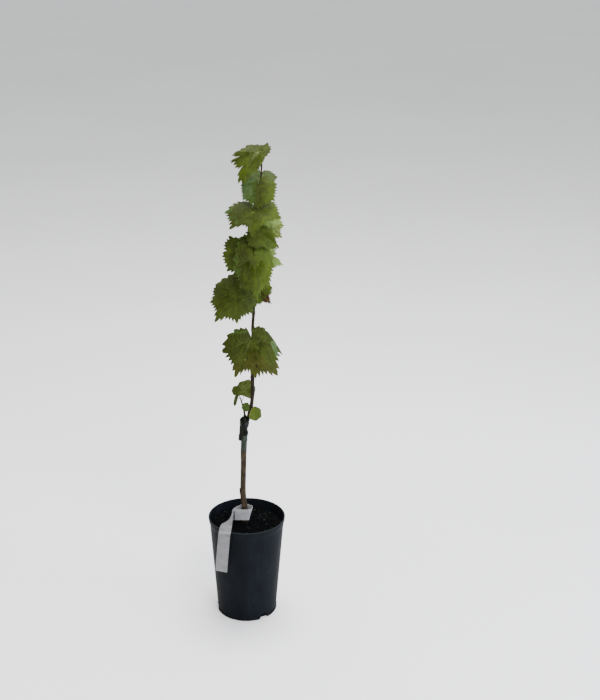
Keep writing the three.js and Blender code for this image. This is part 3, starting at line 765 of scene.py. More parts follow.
# This summer's shoot: a thin smooth rind, dark reddish brown, finely striped along it
GREEN_WOOD = make_finish(
    "ripening vine shoot", {"stripes": (1.1, 4, 0.5, 16), "patches": (24, 3, 0.5, 1)},
    [(0.3, "#140c06"), (0.55, "#24180c"), (0.75, "#43341c")],
    0.55, ior=1.43, specular=0.15, bumps=[("stripes", 0.1)],
    over=("MULTIPLY", 0.7, "patches", [(0.4, "#ffffff"), (0.7, "#b8b880")]),
)

# Winter buds at the nodes: tight brown scales with a faint down
BUD_SCALES = make_finish(
    "bud scales", {"scales": (0.9, 3, 0.5, 1)}, [(0.35, "#1d130c"), (0.7, "#402b1c")],
    0.75, ior=1.4, bumps=[("scales", 0.15)],
)

# The veins: smooth, firm and paler than the blade
LEAF_VEIN = make_finish(
    "leaf vein", {"tone": (9, 2, 0.5, 1), "skin": (0.7, 3, 0.5, 1)},
    [(0.35, "#3a4612"), (0.7, "#454f1b")],
    0.5, ior=1.42, specular=0.15, bumps=[("skin", 0.04)],
)

# Leaf stalks: smooth and slightly shiny, flushed red over green
LEAF_STALK = make_finish(
    "flushed leaf stalk", {"flush": (7, 3, 0.5, 2), "ribs": (0.8, 3, 0.5, 6)},
    [(0.35, "#2e1a12"), (0.6, "#40291a"), (0.8, "#4c4423")],
    0.45, ior=1.42, specular=0.3, bumps=[("ribs", 0.05)],
)


def leaf_face(name, colour, gloss, net_depth=0.16):
    """One face of a vine leaf: a waxy skin drawn into small cushions between a net of fine veins,
    so the light breaks up softly. The net is 1.6 mm wide, a little coarser than life, to show."""
    return make_finish(
        name, {"mottle": (9, 5, 0.65, 1)}, [(0.3, colour, 0.84), (0.7, colour, 1.3)],
        (gloss - 0.05, gloss + 0.07), ior=1.42, specular=0.15,
        bumps=[("net", net_depth), ("mottle", 0.35)], net=1.6,
    )


# In the order of their numbers on the leaves
LEAF_FACES = [
    # The blue-green finish is painted sheen
    ("leaf, blue-green", "#435731", 0.5),
    ("leaf, cool green", "#314316", 0.5),
    ("leaf, dark green", "#2a3205", 0.5),
    ("leaf, dull green", "#323c09", 0.5),
    ("leaf, mid green", "#39470b", 0.5),
    ("leaf, olive green", "#404d0e", 0.5),
    ("leaf, yellow-green", "#505826", 0.52),
    ("leaf, pale green", "#667a3a", 0.52),
    ("leaf, reddened", "#38210f", 0.55),
    ("leaf, bronzed green", "#35380b", 0.52),
    ("leaf, withered brown", "#1f170a", 0.7),
    ("leaf underside", "#5c6a3e", 0.7, 0.25),
]
LEAF_FINISHES = [leaf_face(*row) for row in LEAF_FACES] + [LEAF_VEIN, LEAF_STALK]


def label_film(name, grimy, middle, clean):
    """Blank white plastic film, calendered: satin, a little creased and grubby from the bench."""
    return make_finish(
        name, {"grime": (13, 6, 0.7, 1), "creases": (18, 2, 0.5, 0.6)},
        [(0.35, grimy), (0.5, middle), (0.7, clean)],
        (0.32, 0.45), ior=1.46, bumps=[("creases", 0.8)],
    )


# Both films are greyer than white film, partly painted shade; the second, on the tail, is painted
# shade
LABEL_FILMS = [
    label_film("white label film", "#868688", "#9b9b9d", "#a9a9a9"),
    label_film("label film, painted shade", "#5c5c5e", "#6b6b6d", "#757576"),
]

# Plain matt studio floor, nearly white
STUDIO_FLOOR = make_finish(
    "matt studio floor", {"tone": (900, 2, 0.5, 1)}, [(0.3, "#fafafa"), (0.7, "#ffffff")], 0.8
)


# The pot: a turned profile with rounded corners, then three arches cut through its foot
def rounded_profile(corners, radius, steps=5):
    """Rounds each corner of a profile with a small curve that touches both sides."""
    made = [corners[0]]
    for before, here, after in zip(corners, corners[1:], corners[2:]):
        back = before - here
        ahead = after - here
        reach = min(radius, back.length * 0.45, ahead.length * 0.45)
        start = here + back.normalized() * reach
        end = here + ahead.normalized() * reach
        for i in range(steps + 1):
            share = i / steps
            made.append(start.lerp(here, share).lerp(here.lerp(end, share), share))
    made.append(corners[-1])
    return made


def pot_radius(height):
    slope = (POT_SHOULDER_RADIUS - POT_BASE_RADIUS) / POT_SHOULDER_HEIGHT
    return POT_BASE_RADIUS + slope * height


def pot_inside(height):
    return pot_radius(height) - POT_WALL


def pot_profile():
    corners = [
        (1, 0),
        (POT_FOOT_RADIUS, 0),
        (POT_FOOT_RADIUS + 0.4, POT_FOOT_HEIGHT - 0.8),
        (pot_radius(POT_FOOT_HEIGHT), POT_FOOT_HEIGHT),
        (POT_SHOULDER_RADIUS, POT_SHOULDER_HEIGHT),
        (POT_RIM_RADIUS - 0.8, POT_SHOULDER_HEIGHT + POT_BAND_HEIGHT),
        (POT_RIM_RADIUS, POT_HEIGHT),
        (POT_RIM_RADIUS - POT_LIP_WIDTH, POT_HEIGHT),
        (pot_inside(POT_SHOULDER_HEIGHT), POT_SHOULDER_HEIGHT - 1),
        (pot_inside(POT_FLOOR), POT_FLOOR),
        (1, POT_FLOOR),
    ]
    return rounded_profile([Vector(corner) for corner in corners], POT_ROUNDING)


def drain_arch():
    """An arch-shaped plug that runs from inside the pot out through its wall and foot."""
    steps = 24
    outline = [(-DRAIN_WIDTH / 2, -DRAIN_PLUG_DEPTH), (DRAIN_WIDTH / 2, -DRAIN_PLUG_DEPTH)]
    for i in range(steps + 1):
        turn = math.pi * i / steps
        outline.append((DRAIN_WIDTH / 2 * math.cos(turn), DRAIN_HEIGHT * math.sin(turn)))
    shape = Shape()
    near = POT_BASE_RADIUS - POT_WALL - DRAIN_PLUG_START
    far = near + DRAIN_PLUG_LENGTH
    back = shape.ring([(x, -near, z) for x, z in outline])
    front = shape.ring([(x, -far, z) for x, z in outline])
    shape.join_rings(back, front)
    shape.face(front)
    shape.face(back[::-1])
    return shape


def make_pot():
    shape = Shape()
    rings = [shape.circle(place.x, place.y, POT_SIDES) for place in pot_profile()]
    shape.join_rings(*rings)
    shape.cap(rings[0], (0, 0, 0), upward=False)
    shape.cap(rings[-1], (0, 0, POT_FLOOR))
    body = make_object("pot_blank", shape.mesh("pot_blank"))
    plugs = []
    for i in range(DRAIN_COUNT):
        name = f"drain_plug_{i + 1}"
        plug = make_object(name, drain_arch().mesh(name))
        azimuth = math.radians(DRAIN_FIRST_AZIMUTH + 360 / DRAIN_COUNT * i)
        plug.matrix_world = Matrix.Rotation(azimuth, 4, "Z")
        cut = body.modifiers.new(name, "BOOLEAN")
        cut.operation = "DIFFERENCE"
        cut.solver = "EXACT"
        cut.object = plug
        plugs.append(plug)
    mesh = evaluated_mesh(body, "nursery_pot")
    for plug in plugs:
        discard(plug)
    dress(mesh, POT_FINISHES, sharp_over=40)
    for face in mesh.polygons:
        # faces on the top of the lip take the lighter finish, a painted highlight
        face.material_index = 1 if face.center.z > (POT_HEIGHT - POT_LIP_HIGHLIGHT_DEPTH) * MM else 0
    settle("nursery_pot", mesh, "pot")


# The compost: a lumpy crumbled surface with loose crumbs and chips on it
def from_trunk(x, y):
    return math.hypot(x - TRUNK_LINE[0][0], y - TRUNK_LINE[0][1])


def soil_height(x, y):
    seat = from_trunk(x, y)
    fade = smooth_step(seat, TRUNK_SEAT_RADIUS, TRUNK_SEAT_RADIUS * 2)
    a, b, c, d = (TAU / length for length in SOIL_WAVE_LENGTHS)
    waves = math.sin(a * x + 1) * math.cos(b * y) + math.sin(c * x - d * y)
    clods = noise.fractal(Vector((x, y, 0)) / SOIL_CLODS.size, 0.9, 2.1, 4) * SOIL_CLODS.height
    grains = noise.fractal(Vector((x, y, 40)) / SOIL_GRAINS.size, 0.8, 2.2, 4) * SOIL_GRAINS.height
    collar = SOIL_COLLAR_HEIGHT * math.exp(-((seat / SOIL_COLLAR_WIDTH) ** 2))
    return SOIL_LEVEL + fade * SOIL_LUMP * (waves - 1) / 2 + clods + grains + collar


def soil_edge(height):
    return pot_inside(height) - SOIL_SETBACK


def make_compost():
    shape = Shape()
    edge_height = SOIL_LEVEL - SOIL_EDGE_DROP
    foot = POT_FLOOR + SOIL_FLOOR_GAP
    wall = [
        (soil_edge(POT_FLOOR) - SOIL_FOOT_SETBACK, foot),
        (soil_edge(DRAIN_HEIGHT) - SOIL_FOOT_SETBACK, DRAIN_HEIGHT),
        (soil_edge(DRAIN_HEIGHT * 2), DRAIN_HEIGHT * 2),
        (soil_edge(edge_height), edge_height),
    ]
    rings = [shape.circle(radius, height, SOIL_SIDES) for radius, height in wall]
    for i in range(1, SOIL_RINGS):
        share = 1 - i / SOIL_RINGS
        radius = soil_edge(edge_height) * share
        rise = smooth_step(1 - share, 0, 0.05)
        places = []
        for j in range(SOIL_SIDES):
            turn = TAU * j / SOIL_SIDES
            x, y = radius * math.cos(turn), radius * math.sin(turn)
            places.append((x, y, mix(edge_height, soil_height(x, y), rise)))
        rings.append(shape.ring(places))
    shape.join_rings(*rings)
    shape.cap(rings[0], (0, 0, foot), upward=False)
    shape.cap(rings[-1], (0, 0, soil_height(0, 0)))
    scatter_crumbs(shape)
    finishes = [DAMP_PEAT, BARK_CHIPS]
    add_piece("peat_compost", shape, finishes, "compost", sharp_over=50)


def loose_place(dice, margin):
    """A random place on the compost, clear of the wall and of the trunk."""
    while True:
        radius = (soil_edge(SOIL_LEVEL) - margin) * math.sqrt(dice.random())
        turn = TAU * dice.random()
        x, y = radius * math.cos(turn), radius * math.sin(turn)
        if from_trunk(x, y) > LOOSE_CLEARANCE:
            return x, y


def scatter_crumbs(shape):
    dice = random.Random(41)
    unit = bmesh.new()
    bmesh.ops.create_icosphere(unit, subdivisions=1, radius=1)
    ball = [corner.co.copy() for corner in unit.verts]
    sides = [[corner.index for corner in face.verts] for face in unit.faces]
    unit.free()
    for i in range(CRUMB_COUNT + CHIP_COUNT):
        chip = i >= CRUMB_COUNT
        size = dice.uniform(0.7, 1.3) if chip else mix(0.6, 2.4, dice.random() ** 2)
        stretch = (dice.uniform(2, 4.5), 0.8, 0.5) if chip else (dice.uniform(0.9, 1.6), 1, 0.75)
        x, y = loose_place(dice, size * 2 + 1)
        turn = Matrix.Rotation(dice.uniform(0, TAU), 3, "Z")
        tip = Matrix.Rotation(dice.uniform(-LOOSE_TILT, LOOSE_TILT), 3, "X")
        middle = Vector((x, y, soil_height(x, y) + size * 0.3))
        corners = []
        for corner in ball:
            rough = 1 + LOOSE_ROUGHNESS * noise.noise(corner * 2 + Vector((i, 0, 0)))
            grown = Vector(corner[k] * stretch[k] for k in range(3)) * (size * rough)
            corners.append(shape.corner(middle + turn @ (tip @ grown)))
        for side in sides:
            shape.face([corners[k] for k in side], 1 if chip else 0)


# The trunk: bark in long split strips, dipped in wax from below the graft up
def bark_relief(turn, height):
    round_about = Vector((math.cos(turn), math.sin(turn), 0)) * BARK_STRIPS_ROUND
    strip = noise.noise(round_about + Vector((0, 0, height / FISSURE_LENGTH)))
    fibre = noise.noise(round_about * 3 + Vector((0, 0, height / BARK_FIBRE_LENGTH + 30)))
    lump = noise.noise(round_about / 3 + Vector((0, 0, height / BARK_LUMP_LENGTH + 70)))
    crack = 1 - smooth_step(abs(strip), 0, FISSURE_WIDTH)
    return BARK_LUMP_HEIGHT * lump + BARK_FIBRE_HEIGHT * fibre - FISSURE_DEPTH * crack


def dip_edge(turn):
    return DIP_HEIGHT + DIP_RAGGED * noise.noise(Vector((math.cos(turn), math.sin(turn), 5)) * 1.4)


def smooth_value(rows, place, blur):
    """The rows' value, averaged over a short stretch so that no kink shows."""
    return sum(value_at(rows, place + blur * k / 3) for k in range(-3, 4)) / 7


def make_trunk():
    line = Line(TRUNK_LINE)
    centres = [p for p in line.places(TRUNK_RINGS) if TRUNK_CUT < p.z < TRUNK_TOP]
    centres.insert(0, line.at_height(TRUNK_CUT))

    def radius(_, centre, turn):
        bare = smooth_step(dip_edge(turn) - centre.z, -8, 2)
        depth = mix(DIPPED_RELIEF, 1, bare)
        return smooth_value(TRUNK_RADII, centre.z, 6) + depth * bark_relief(turn, centre.z)

    shape = Shape()
    shape.tube(centres, radius, TRUNK_SIDES)
    for i, corners in enumerate(shape.faces[: TRUNK_SIDES * (len(centres) - 1)]):
        middle = shape.corners[corners[0]]
        turn = TAU * (i % TRUNK_SIDES) / TRUNK_SIDES
        shape.finishes[i] = 1 if middle.z > dip_edge(turn) else 0
    add_spur(shape)
    add_piece("vine_trunk", shape, [VINE_BARK, DIPPED_BARK], "trunk")


def add_spur(shape):
    """The dead stub of a side shoot, low on the left of the trunk and close against it."""
    root = Line(TRUNK_LINE).at_height(SPUR_HEIGHT) + SPUR_OFFSET
    ahead = SPUR_DIRECTION.normalized()
    steps = 14
    centres = [root + ahead * (SPUR_LENGTH * i / steps) for i in range(steps + 1)]
    shape.tube(centres, lambda share, *_: SPUR_RADIUS * (1 - 0.5 * share**3), 14)


# The graft: its pieces are joined, melted together and dressed with a few ripples
def add_stub(shape, out):
    steps = 12
    centres = [STUB_FACE - out * (STUB_LENGTH * (1 - i / steps)) for i in range(steps + 1)]
    shape.tube(centres, lambda share, *_: mix(STUB_ROOT_RADIUS, STUB_FACE_RADIUS, share), 32)


def shoot_root(shape, line, start, radius):
    end = line.at(0)
    ahead = (line.at(0.01) - end).normalized()
    turn = end - ahead * ROOT_BEND
    steps = 12
    centres = []
    for i in range(steps + 1):
        share = i / steps
        centres.append(Vector(start).lerp(turn, share).lerp(turn.lerp(end, share), share))
    centres.append(end + ahead * ROOT_OVERLAP)
    shape.tube(centres, lambda share, *_: radius * (1 + ROOT_SWELL * (1 - share)), 20)


def make_graft(shoot_line, sprout_line):
    shape = Shape()
    body = Line(GRAFT_LINE).places(40)
    shape.tube(body, lambda _, centre, turn: smooth_value(GRAFT_RADII, centre.z, 2), 36)
    wax = Line(WAX_LINE).places(WAX_STEPS)
    shape.tube(wax, lambda share, *_: value_at(WAX_RADII, share), 24)
    out = direction(STUB_AZIMUTH, STUB_RISE)
    add_stub(shape, out)
    shoot_root(shape, shoot_line, SHOOT_ROOT_START, SHOOT_ROOT_RADIUS * (1 + NODE_SWELL / 5))
    shoot_root(shape, sprout_line, SPROUT_ROOT_START, SPROUT_ROOT_RADIUS * (1 + NODE_SWELL))
    blank = make_object("graft_blank", shape.mesh("graft_blank"))
    melt = blank.modifiers.new("melt", "REMESH")
    melt.mode = "VOXEL"
    melt.voxel_size = WAX_GRAIN * MM
    soften = blank.modifiers.new("soften", "SMOOTH")
    soften.factor = 0.5
    soften.iterations = WAX_MELT
    mesh = evaluated_mesh(blank, "graft_union")
    cut_flat(mesh, GRAFT_FOOT)
    dress(mesh, [GRAFTING_WAX, END_GRAIN, DIPPED_BARK])
    for corner in mesh.vertices:
        place = corner.co / MM
        ripple = WAX_RIPPLE * noise.fractal(place / WAX_RIPPLE_LENGTH, 0.8, 2, 3)
        if place.z > GRAFT_FOOT + 1 and (place - STUB_FACE).dot(out) < -0.8:
            corner.co += corner.normal * ripple * MM
    radii = [value_at(WAX_RADII, i / WAX_STEPS) for i in range(WAX_STEPS + 1)]
    for face in mesh.polygons:
        away = face.center / MM - STUB_FACE
        flat = face.normal.dot(out) > STUB_FLATNESS and abs(away.dot(out)) < STUB_SKIN
        if flat and away.length < STUB_FACE_RADIUS:
            face.material_index = 1
        elif face.center.z < COLLAR_FOOT * MM:
            place = face.center / MM
            gap = min((place - at).length - radius for at, radius in zip(wax, radii))
            face.material_index = 0 if gap < WAX_RUN_EDGE else 2
    settle("graft_union", mesh, "graft")


def cut_flat(mesh, height):
    """Cuts a mesh off below a height and closes the cut."""
    work = bmesh.new()
    work.from_mesh(mesh)
    everything = list(work.verts) + list(work.edges) + list(work.faces)
    cut = bmesh.ops.bisect_plane(
        work, geom=everything, plane_co=(0, 0, height * MM), plane_no=(0, 0, 1), clear_inner=True
    )
    rim = [part for part in cut["geom_cut"] if isinstance(part, bmesh.types.BMEdge)]
    bmesh.ops.holes_fill(work, edges=rim)
    work.to_mesh(mesh)
    work.free()


# The main shoot, finely ribbed and swollen at its nodes, with a bud over each leaf stalk
NODE_HEIGHTS = BARE_NODES + [leaf["node"] for leaf in LEAVES]


def shoot_radius(share, height):
    plain = mix(SHOOT_ROOT_RADIUS, SHOOT_TIP_RADIUS, share)
    swell = max(math.exp(-(((height - node) / NODE_LENGTH) ** 2)) for node in NODE_HEIGHTS)
    return plain * (1 + NODE_SWELL * swell)


def add_bud(shape, root, outward, radius):
    """A small pointed bud in its own finish that leans out from a node."""
    lean = (outward + Vector((0, 0, BUD_RISE))).normalized()
    base = root + outward * (radius * 0.6) + Vector((0, 0, radius * 0.5))
    steps = 10
    centres = [base + lean * (BUD_LENGTH * i / steps) for i in range(steps + 1)]

    def thickness(share, *_):
        return BUD_RADIUS * math.sin(math.pi * mix(0.25, 0.98, share)) ** 0.8

    shape.tube(centres, thickness, 12, finish=1)


def make_shoot(line):
    def radius(share, centre, turn):
        ribs = 1 + RIB_HEIGHT * math.sin(RIB_COUNT * turn)
        along = centre.z / SHOOT_GRAIN_LENGTH
        grain = noise.noise(Vector((math.cos(turn) * 2, math.sin(turn) * 2, along)))
        end = math.sqrt(clamp((1 - share) / SHOOT_TIP_SHARE))
        return shoot_radius(share, centre.z) * (ribs + SHOOT_GRAIN * grain) * end

    shape = Shape()
    shape.tube(line.places(SHOOT_RINGS), radius, SHOOT_SIDES)
    for leaf in LEAVES:
        root = line.at_height(leaf["node"])
        away = Vector(leaf["at"]) - root
        outward = Vector((away.x, away.y, 0)).normalized()
        add_bud(shape, root, outward, shoot_radius(0.5, leaf["node"]))
    for i, height in enumerate(BARE_NODES):
        outward = Vector((1 if i % 2 == 0 else -1, -0.3, 0)).normalized()
        add_bud(shape, line.at_height(height), outward, BARE_NODE_RADIUS)
    add_piece("vine_shoot", shape, [GREEN_WOOD, BUD_SCALES], "main_shoot")


# Leaves
def teeth_per_lobe(leaf):
    """Odd numbers, so that a tooth crowns each lobe and none stands in a sinus."""
    return 5 if leaf.size > SMALL_LEAF else 3


def phase_degrees(leaf):
    """Counts the teeth from the main tip to the stalk: rows of (tooth number, degrees)."""
    count = teeth_per_lobe(leaf)
    return [(0, 0), (count, LATERAL_ANGLE), (2 * count, LOBE_ANGLE), (3 * count + 1, 180)]


def on_side(value, side):
    """A leaf's value, or where it is a pair, the one for the left (-1) or the right (1)."""
    if isinstance(value, tuple):
        return value[0 if side < 0 else 1]
    return value


def lobe_reach(row, leaf, side):
    angle, reach, pointed = row
    if angle == 0:
        return reach * leaf.tip
    if angle >= HEEL_FROM:
        reach = mix(reach, HEEL_REACH, leaf.heel)
    if angle > LOBE_ANGLE:
        return reach * on_side(leaf.base, side)
    if pointed:
        return reach * (on_side(leaf.lateral, side) if angle < LOBE_ANGLE else 1)
    return reach - on_side(leaf.sinus, side) * (1 if angle < LATERAL_ANGLE else leaf.outer)


def outline_reach(degrees, leaf, side):
    """How far the plain outline reaches, with its cuts."""
    reach = uncut_reach(degrees, leaf, side)
    for toward, half_width, depth in leaf.cuts:
        reach *= 1 - depth * clamp(1 - abs(degrees * side - toward) / half_width)
    return reach


def uncut_reach(degrees, leaf, side):
    blunt = on_side(leaf.blunt, side)
    for before, row in zip(LEAF_FORM, LEAF_FORM[1:]):
        if degrees <= row[0]:
            share = (degrees - before[0]) / (row[0] - before[0])
            start = lobe_reach(before, leaf, side)
            end = lobe_reach(row, leaf, side)
            if before[2]:
                return end + (start - end) * clamp((1 - share) / (1 - blunt)) ** leaf.sharp
            if row[2]:
                return start + (end - start) * clamp(share / (1 - blunt)) ** leaf.sharp
            return mix(start, end, (1 - math.cos(math.pi * share)) / 2)
    return LEAF_FORM[-1][1]


def tooth_height(phase, degrees):
    """1 at a tooth's point and 0 in the notch, with a small second tooth on each long flank.
    Every tooth leans towards the tip of its lobe."""
    toward_base = degrees % LATERAL_ANGLE < HALF_LOBE or degrees > LOBE_ANGLE
    notch = 0.5 + (TOOTH_LEAN if toward_base else -TOOTH_LEAN)
    part = phase % 1
    fall = part / notch if part < notch else (1 - part) / (1 - notch)
    long_flank = (part < notch) == toward_base
    if not long_flank:
        return 1 - fall
    second = 1 - abs(fall - SECOND_TOOTH_PLACE) / SECOND_TOOTH_WIDTH
    return 1 - fall + SECOND_TOOTH_HEIGHT * max(0, second)


def tooth_depth(leaf):
    return TOOTH_DEPTH if leaf.size > SMALL_LEAF else TOOTH_DEPTH_YOUNG


def toothed_reach(phase, degrees, leaf, side):
    fade = clamp((TOOTHLESS_FROM - degrees) / TOOTH_FADE)
    lobe = nearest_lobe(degrees)[0]
    fade *= mix(TIP_NOTCH_SHARE, 1, clamp(abs(degrees - lobe) / TIP_NOTCH_WIDTH))
    own = noise.noise(Vector((round(phase), side * 3, leaf.node / 9)) * 1.3)
    fade *= 1 + TOOTH_SPREAD * own
    notch = tooth_depth(leaf) * (1 - tooth_height(phase, degrees)) * fade
    return outline_reach(degrees, leaf, side) * (1 - notch)


def opened_angle(degrees, leaf, side):
    spread = on_side(leaf.spread, side)
    fan = LATERAL_ANGLE * spread if leaf.fan is None else on_side(leaf.fan, side)
    rows = [(0, 0), (LATERAL_ANGLE, fan), (LOBE_ANGLE, LOBE_ANGLE * spread), (180, 180)]
    return math.radians(value_at(rows, degrees))


def nearest_lobe(degrees):
    """The lobe that a direction belongs to, and how far across its half, from 0 to 1."""
    if degrees < HALF_LOBE:
        return 0, degrees / HALF_LOBE
    if degrees < LATERAL_ANGLE + HALF_LOBE:
        return LATERAL_ANGLE, abs(degrees - LATERAL_ANGLE) / HALF_LOBE
    if degrees < LOBE_ANGLE:
        return LOBE_ANGLE, (LOBE_ANGLE - degrees) / HALF_LOBE
    return LOBE_ANGLE, (degrees - LOBE_ANGLE) / BASAL_SPAN


def vein_start(degrees, lobe, side):
    """Where the lowest side vein leaves the main vein; the two flanks alternate."""
    outer = degrees > lobe or (lobe == 0 and side > 0)
    return VEIN_FIRST + (VEIN_STEP / 2 if outer else 0)


def blade_relief(leaf, share, degrees, side, radius):
    """The swelling between side veins and the trough along each main vein."""
    lobe, across = nearest_lobe(degrees)
    phase = (share - across - vein_start(degrees, lobe, side)) / VEIN_STEP
    bulge = (1 - math.cos(TAU * phase)) / 2
    fade = smooth_step(share, 0.05, 0.3) * (1 - 0.7 * smooth_step(share, 0.8, 1))
    off_vein = opened_angle(degrees, leaf, side) - opened_angle(lobe, leaf, side)
    off_vein = radius * math.sin(abs(off_vein))
    trough = math.exp(-((off_vein / VEIN_SINK_WIDTH) ** 2)) * (1 - share)
    return PUCKER * bulge * fade - VEIN_SINK * trough


def bend(distance, start, curl):
    if abs(curl) < 1e-4:
        return distance * math.cos(start), distance * math.sin(start)
    end = start + curl * distance
    return (math.sin(end) - math.sin(start)) / curl, (math.cos(start) - math.cos(end)) / curl


def leaf_frame(leaf):
    azimuth = math.radians(leaf.face[0])
    turn = math.radians(leaf.turn)
    right = Vector((math.cos(azimuth), math.sin(azimuth), 0))
    normal = direction(*leaf.face)
    down = right.cross(normal)
    midrib = down * math.cos(turn) + right * math.sin(turn)
    beside = right * math.cos(turn) - down * math.sin(turn)
    return SimpleNamespace(normal=normal, midrib=midrib, beside=beside)


def rolled_under(leaf, angle, radius):
    """Rolls the margin beyond the leaf's crease: the new flat place and how far it sinks."""
    x, y = radius * math.cos(angle), radius * math.sin(angle)
    if leaf.crease is None:
        return x, y, 0.0
    toward = math.radians(leaf.crease[0])
    start = leaf.crease[1] - ROLL_START
    along = x * math.cos(toward) + y * math.sin(toward)
    beyond = along - start
    if beyond <= 0:
        return x, y, 0.0
    full = math.radians(ROLL_TURN)
    turn = min(beyond / ROLL_RADIUS, full)
    rest = beyond - turn * ROLL_RADIUS
    new_along = start + ROLL_RADIUS * math.sin(turn) + rest * math.cos(turn)
    sink = ROLL_RADIUS * (1 - math.cos(turn)) + rest * math.sin(turn)
    shift = new_along - along
    slump = ROLL_SLUMP * beyond
    x += shift * math.cos(toward) + slump * math.sin(toward)
    y += shift * math.sin(toward) - slump * math.cos(toward)
    return x, y, -sink


def blade_place(leaf, share, phase, side):
    """A place on the middle of the blade: share of the way to the margin, in the direction that a
    count of teeth gives, on the left (-1) or right (1)."""
    degrees = value_at(phase_degrees(leaf), phase)
    plain = outline_reach(degrees, leaf, side) * (1 - tooth_depth(leaf) / 2)
    edge = toothed_reach(phase, degrees, leaf, side)
    radius = plain * share + (edge - plain) * share**6
    angle = opened_angle(degrees, leaf, side) * side
    forward, sideways, sink = rolled_under(leaf, angle, radius)
    sideways *= on_side(leaf.wide, side)
    fold, curl = (math.radians(on_side(value, side)) for value in (leaf.fold, leaf.curl))
    across, lift = bend(abs(sideways), fold, curl)
    rate = math.radians(leaf.droop) * (1 if forward > 0 else BASAL_DROOP_SHARE)
    along, fall = bend(forward, 0, rate)
    wave = math.sin(RIPPLE_WAVES * math.atan2(sideways, forward) + leaf.node)
    ripple = LEAF_RIPPLE * wave * (forward**2 + sideways**2)
    rise = lift + ripple + sink + blade_relief(leaf, share, degrees, side, radius)
    tilt = rate * forward
    return (
        leaf.at
        + leaf.frame.midrib * (leaf.size * (along + rise * math.sin(tilt)))
        + leaf.frame.normal * (leaf.size * (rise * math.cos(tilt) - fall))
        + leaf.frame.beside * (leaf.size * math.copysign(across, sideways))
    )


def blade_normal(leaf, share, phase, side):
    step = 0.01
    here = blade_place(leaf, share, phase, side)
    ahead = blade_place(leaf, share + step, phase, side) - here
    aside = blade_place(leaf, share, phase + step, side) - here
    return ahead.cross(aside).normalized() * side


def leaf_tone(leaf, share, degrees, side):
    """The number of the upper face's finish at one place."""
    forward = share * math.cos(math.radians(degrees))
    sideways = share * math.sin(math.radians(degrees)) * side
    patch = noise.fractal(Vector((forward, sideways, leaf.node / 7)) * 4, 0.7, 2.2, 4)
    for spot_share, spot_degrees, spot_size, spot_tone in leaf.spots:
        turn = math.radians(spot_degrees)
        ahead = forward - spot_share * math.cos(turn)
        aside = sideways - spot_share * math.sin(turn)
        if math.hypot(ahead, aside) * leaf.size < spot_size:
            return spot_tone
    if forward + TIP_MOTTLE * patch > leaf.tip_from:
        return leaf.tip_tone
    # the change to the right is above all painted light and shade across the two halves
    base, to_tip, light_and_tone_to_right = leaf.tone
    tone = base + to_tip * forward + light_and_tone_to_right * sideways + TONE_MOTTLE * patch
    return round(clamp(tone, SHEEN_BLUE_TONE, PALE_TONE))


def blade_rings(leaf):
    """Rings from the stalk to the margin: share of the way out, and the step between stations."""
    count = max(8, round(leaf.size / RING_SPACING))
    shares = [i / count for i in range(1, count + 1)]
    return [(share, next(step for end, step in RING_STEPS if share < end)) for share in shares]


def add_blade(shape, leaf):
    count = teeth_per_lobe(leaf)
    half_stations = (3 * count + 1) * STATIONS_PER_TOOTH
    stations = half_stations * 2
    middle = Shape()
    middle.corner(blade_place(leaf, 0, 0, 1))
    marks = [(0.0, 0.0, 1)]
    rings = []
    for share, every in blade_rings(leaf):
        ring = []
        for i in range(0, stations, every):
            side = 1 if i <= half_stations else -1
            phase = (i if side > 0 else stations - i) / STATIONS_PER_TOOTH
            ring.append(middle.corner(blade_place(leaf, share, phase, side)))
            marks.append((share, value_at(phase_degrees(leaf), phase), side))
        rings.append(ring)
    first = rings[0]
    for i in range(len(first)):
        middle.face((0, first[i], first[(i + 1) % len(first)]))
    for inner, outer in zip(rings, rings[1:]):
        if len(inner) == len(outer):
            joined = len(middle.faces)
            middle.join_rings(inner, outer)
            middle.faces[joined:] = [face[::-1] for face in middle.faces[joined:]]
            continue
        for i in range(len(inner)):
            near, after = inner[i], inner[(i + 1) % len(inner)]
            start, between = outer[2 * i], outer[2 * i + 1]
            end = outer[(2 * i + 2) % len(outer)]
            middle.face((near, start, between))
            middle.face((near, between, after))
            middle.face((after, between, end))
    thicken(shape, middle, rings[-1], leaf, marks)


def thicken(shape, middle, edge, leaf, marks):
    """Gives the blade its thickness: an upper face, an underside and the margin between them."""
    sheet = middle.mesh("blade_middle")
    normals = [corner.vector.copy() for corner in sheet.vertex_normals]
    bpy.data.meshes.remove(sheet)
    upper = []
    lower = []
    for place, normal, (share, _, _) in zip(middle.corners, normals, marks):
        half = LEAF_THICKNESS / 2 * (1 - MARGIN_THINNING * share)
        upper.append(shape.corner(place + normal * half))
        lower.append(shape.corner(place - normal * half))
    for face in middle.faces:
        tone = leaf_tone(leaf, *marks[face[0]])
        shape.face([upper[i] for i in face], tone)
        shape.face([lower[i] for i in reversed(face)], UNDERSIDE)
    for here, after in zip(edge, edge[1:] + edge[:1]):
        shape.face((lower[here], lower[after], upper[after], upper[here]), UNDERSIDE)


def add_vein(shape, leaf, marks, root_radius, tip_radius, sides=6):
    """A rib along the blade: it stands out below and just shows above."""
    centres = []
    last = len(marks) - 1
    for i, mark in enumerate(marks):
        sink = mix(root_radius, tip_radius, i / last) - LEAF_THICKNESS / 2 - VEIN_PROUD
        centres.append(blade_place(leaf, *mark) - blade_normal(leaf, *mark) * sink)
    shape.tube(centres, lambda share, *_: mix(root_radius, tip_radius, share), sides, VEIN)


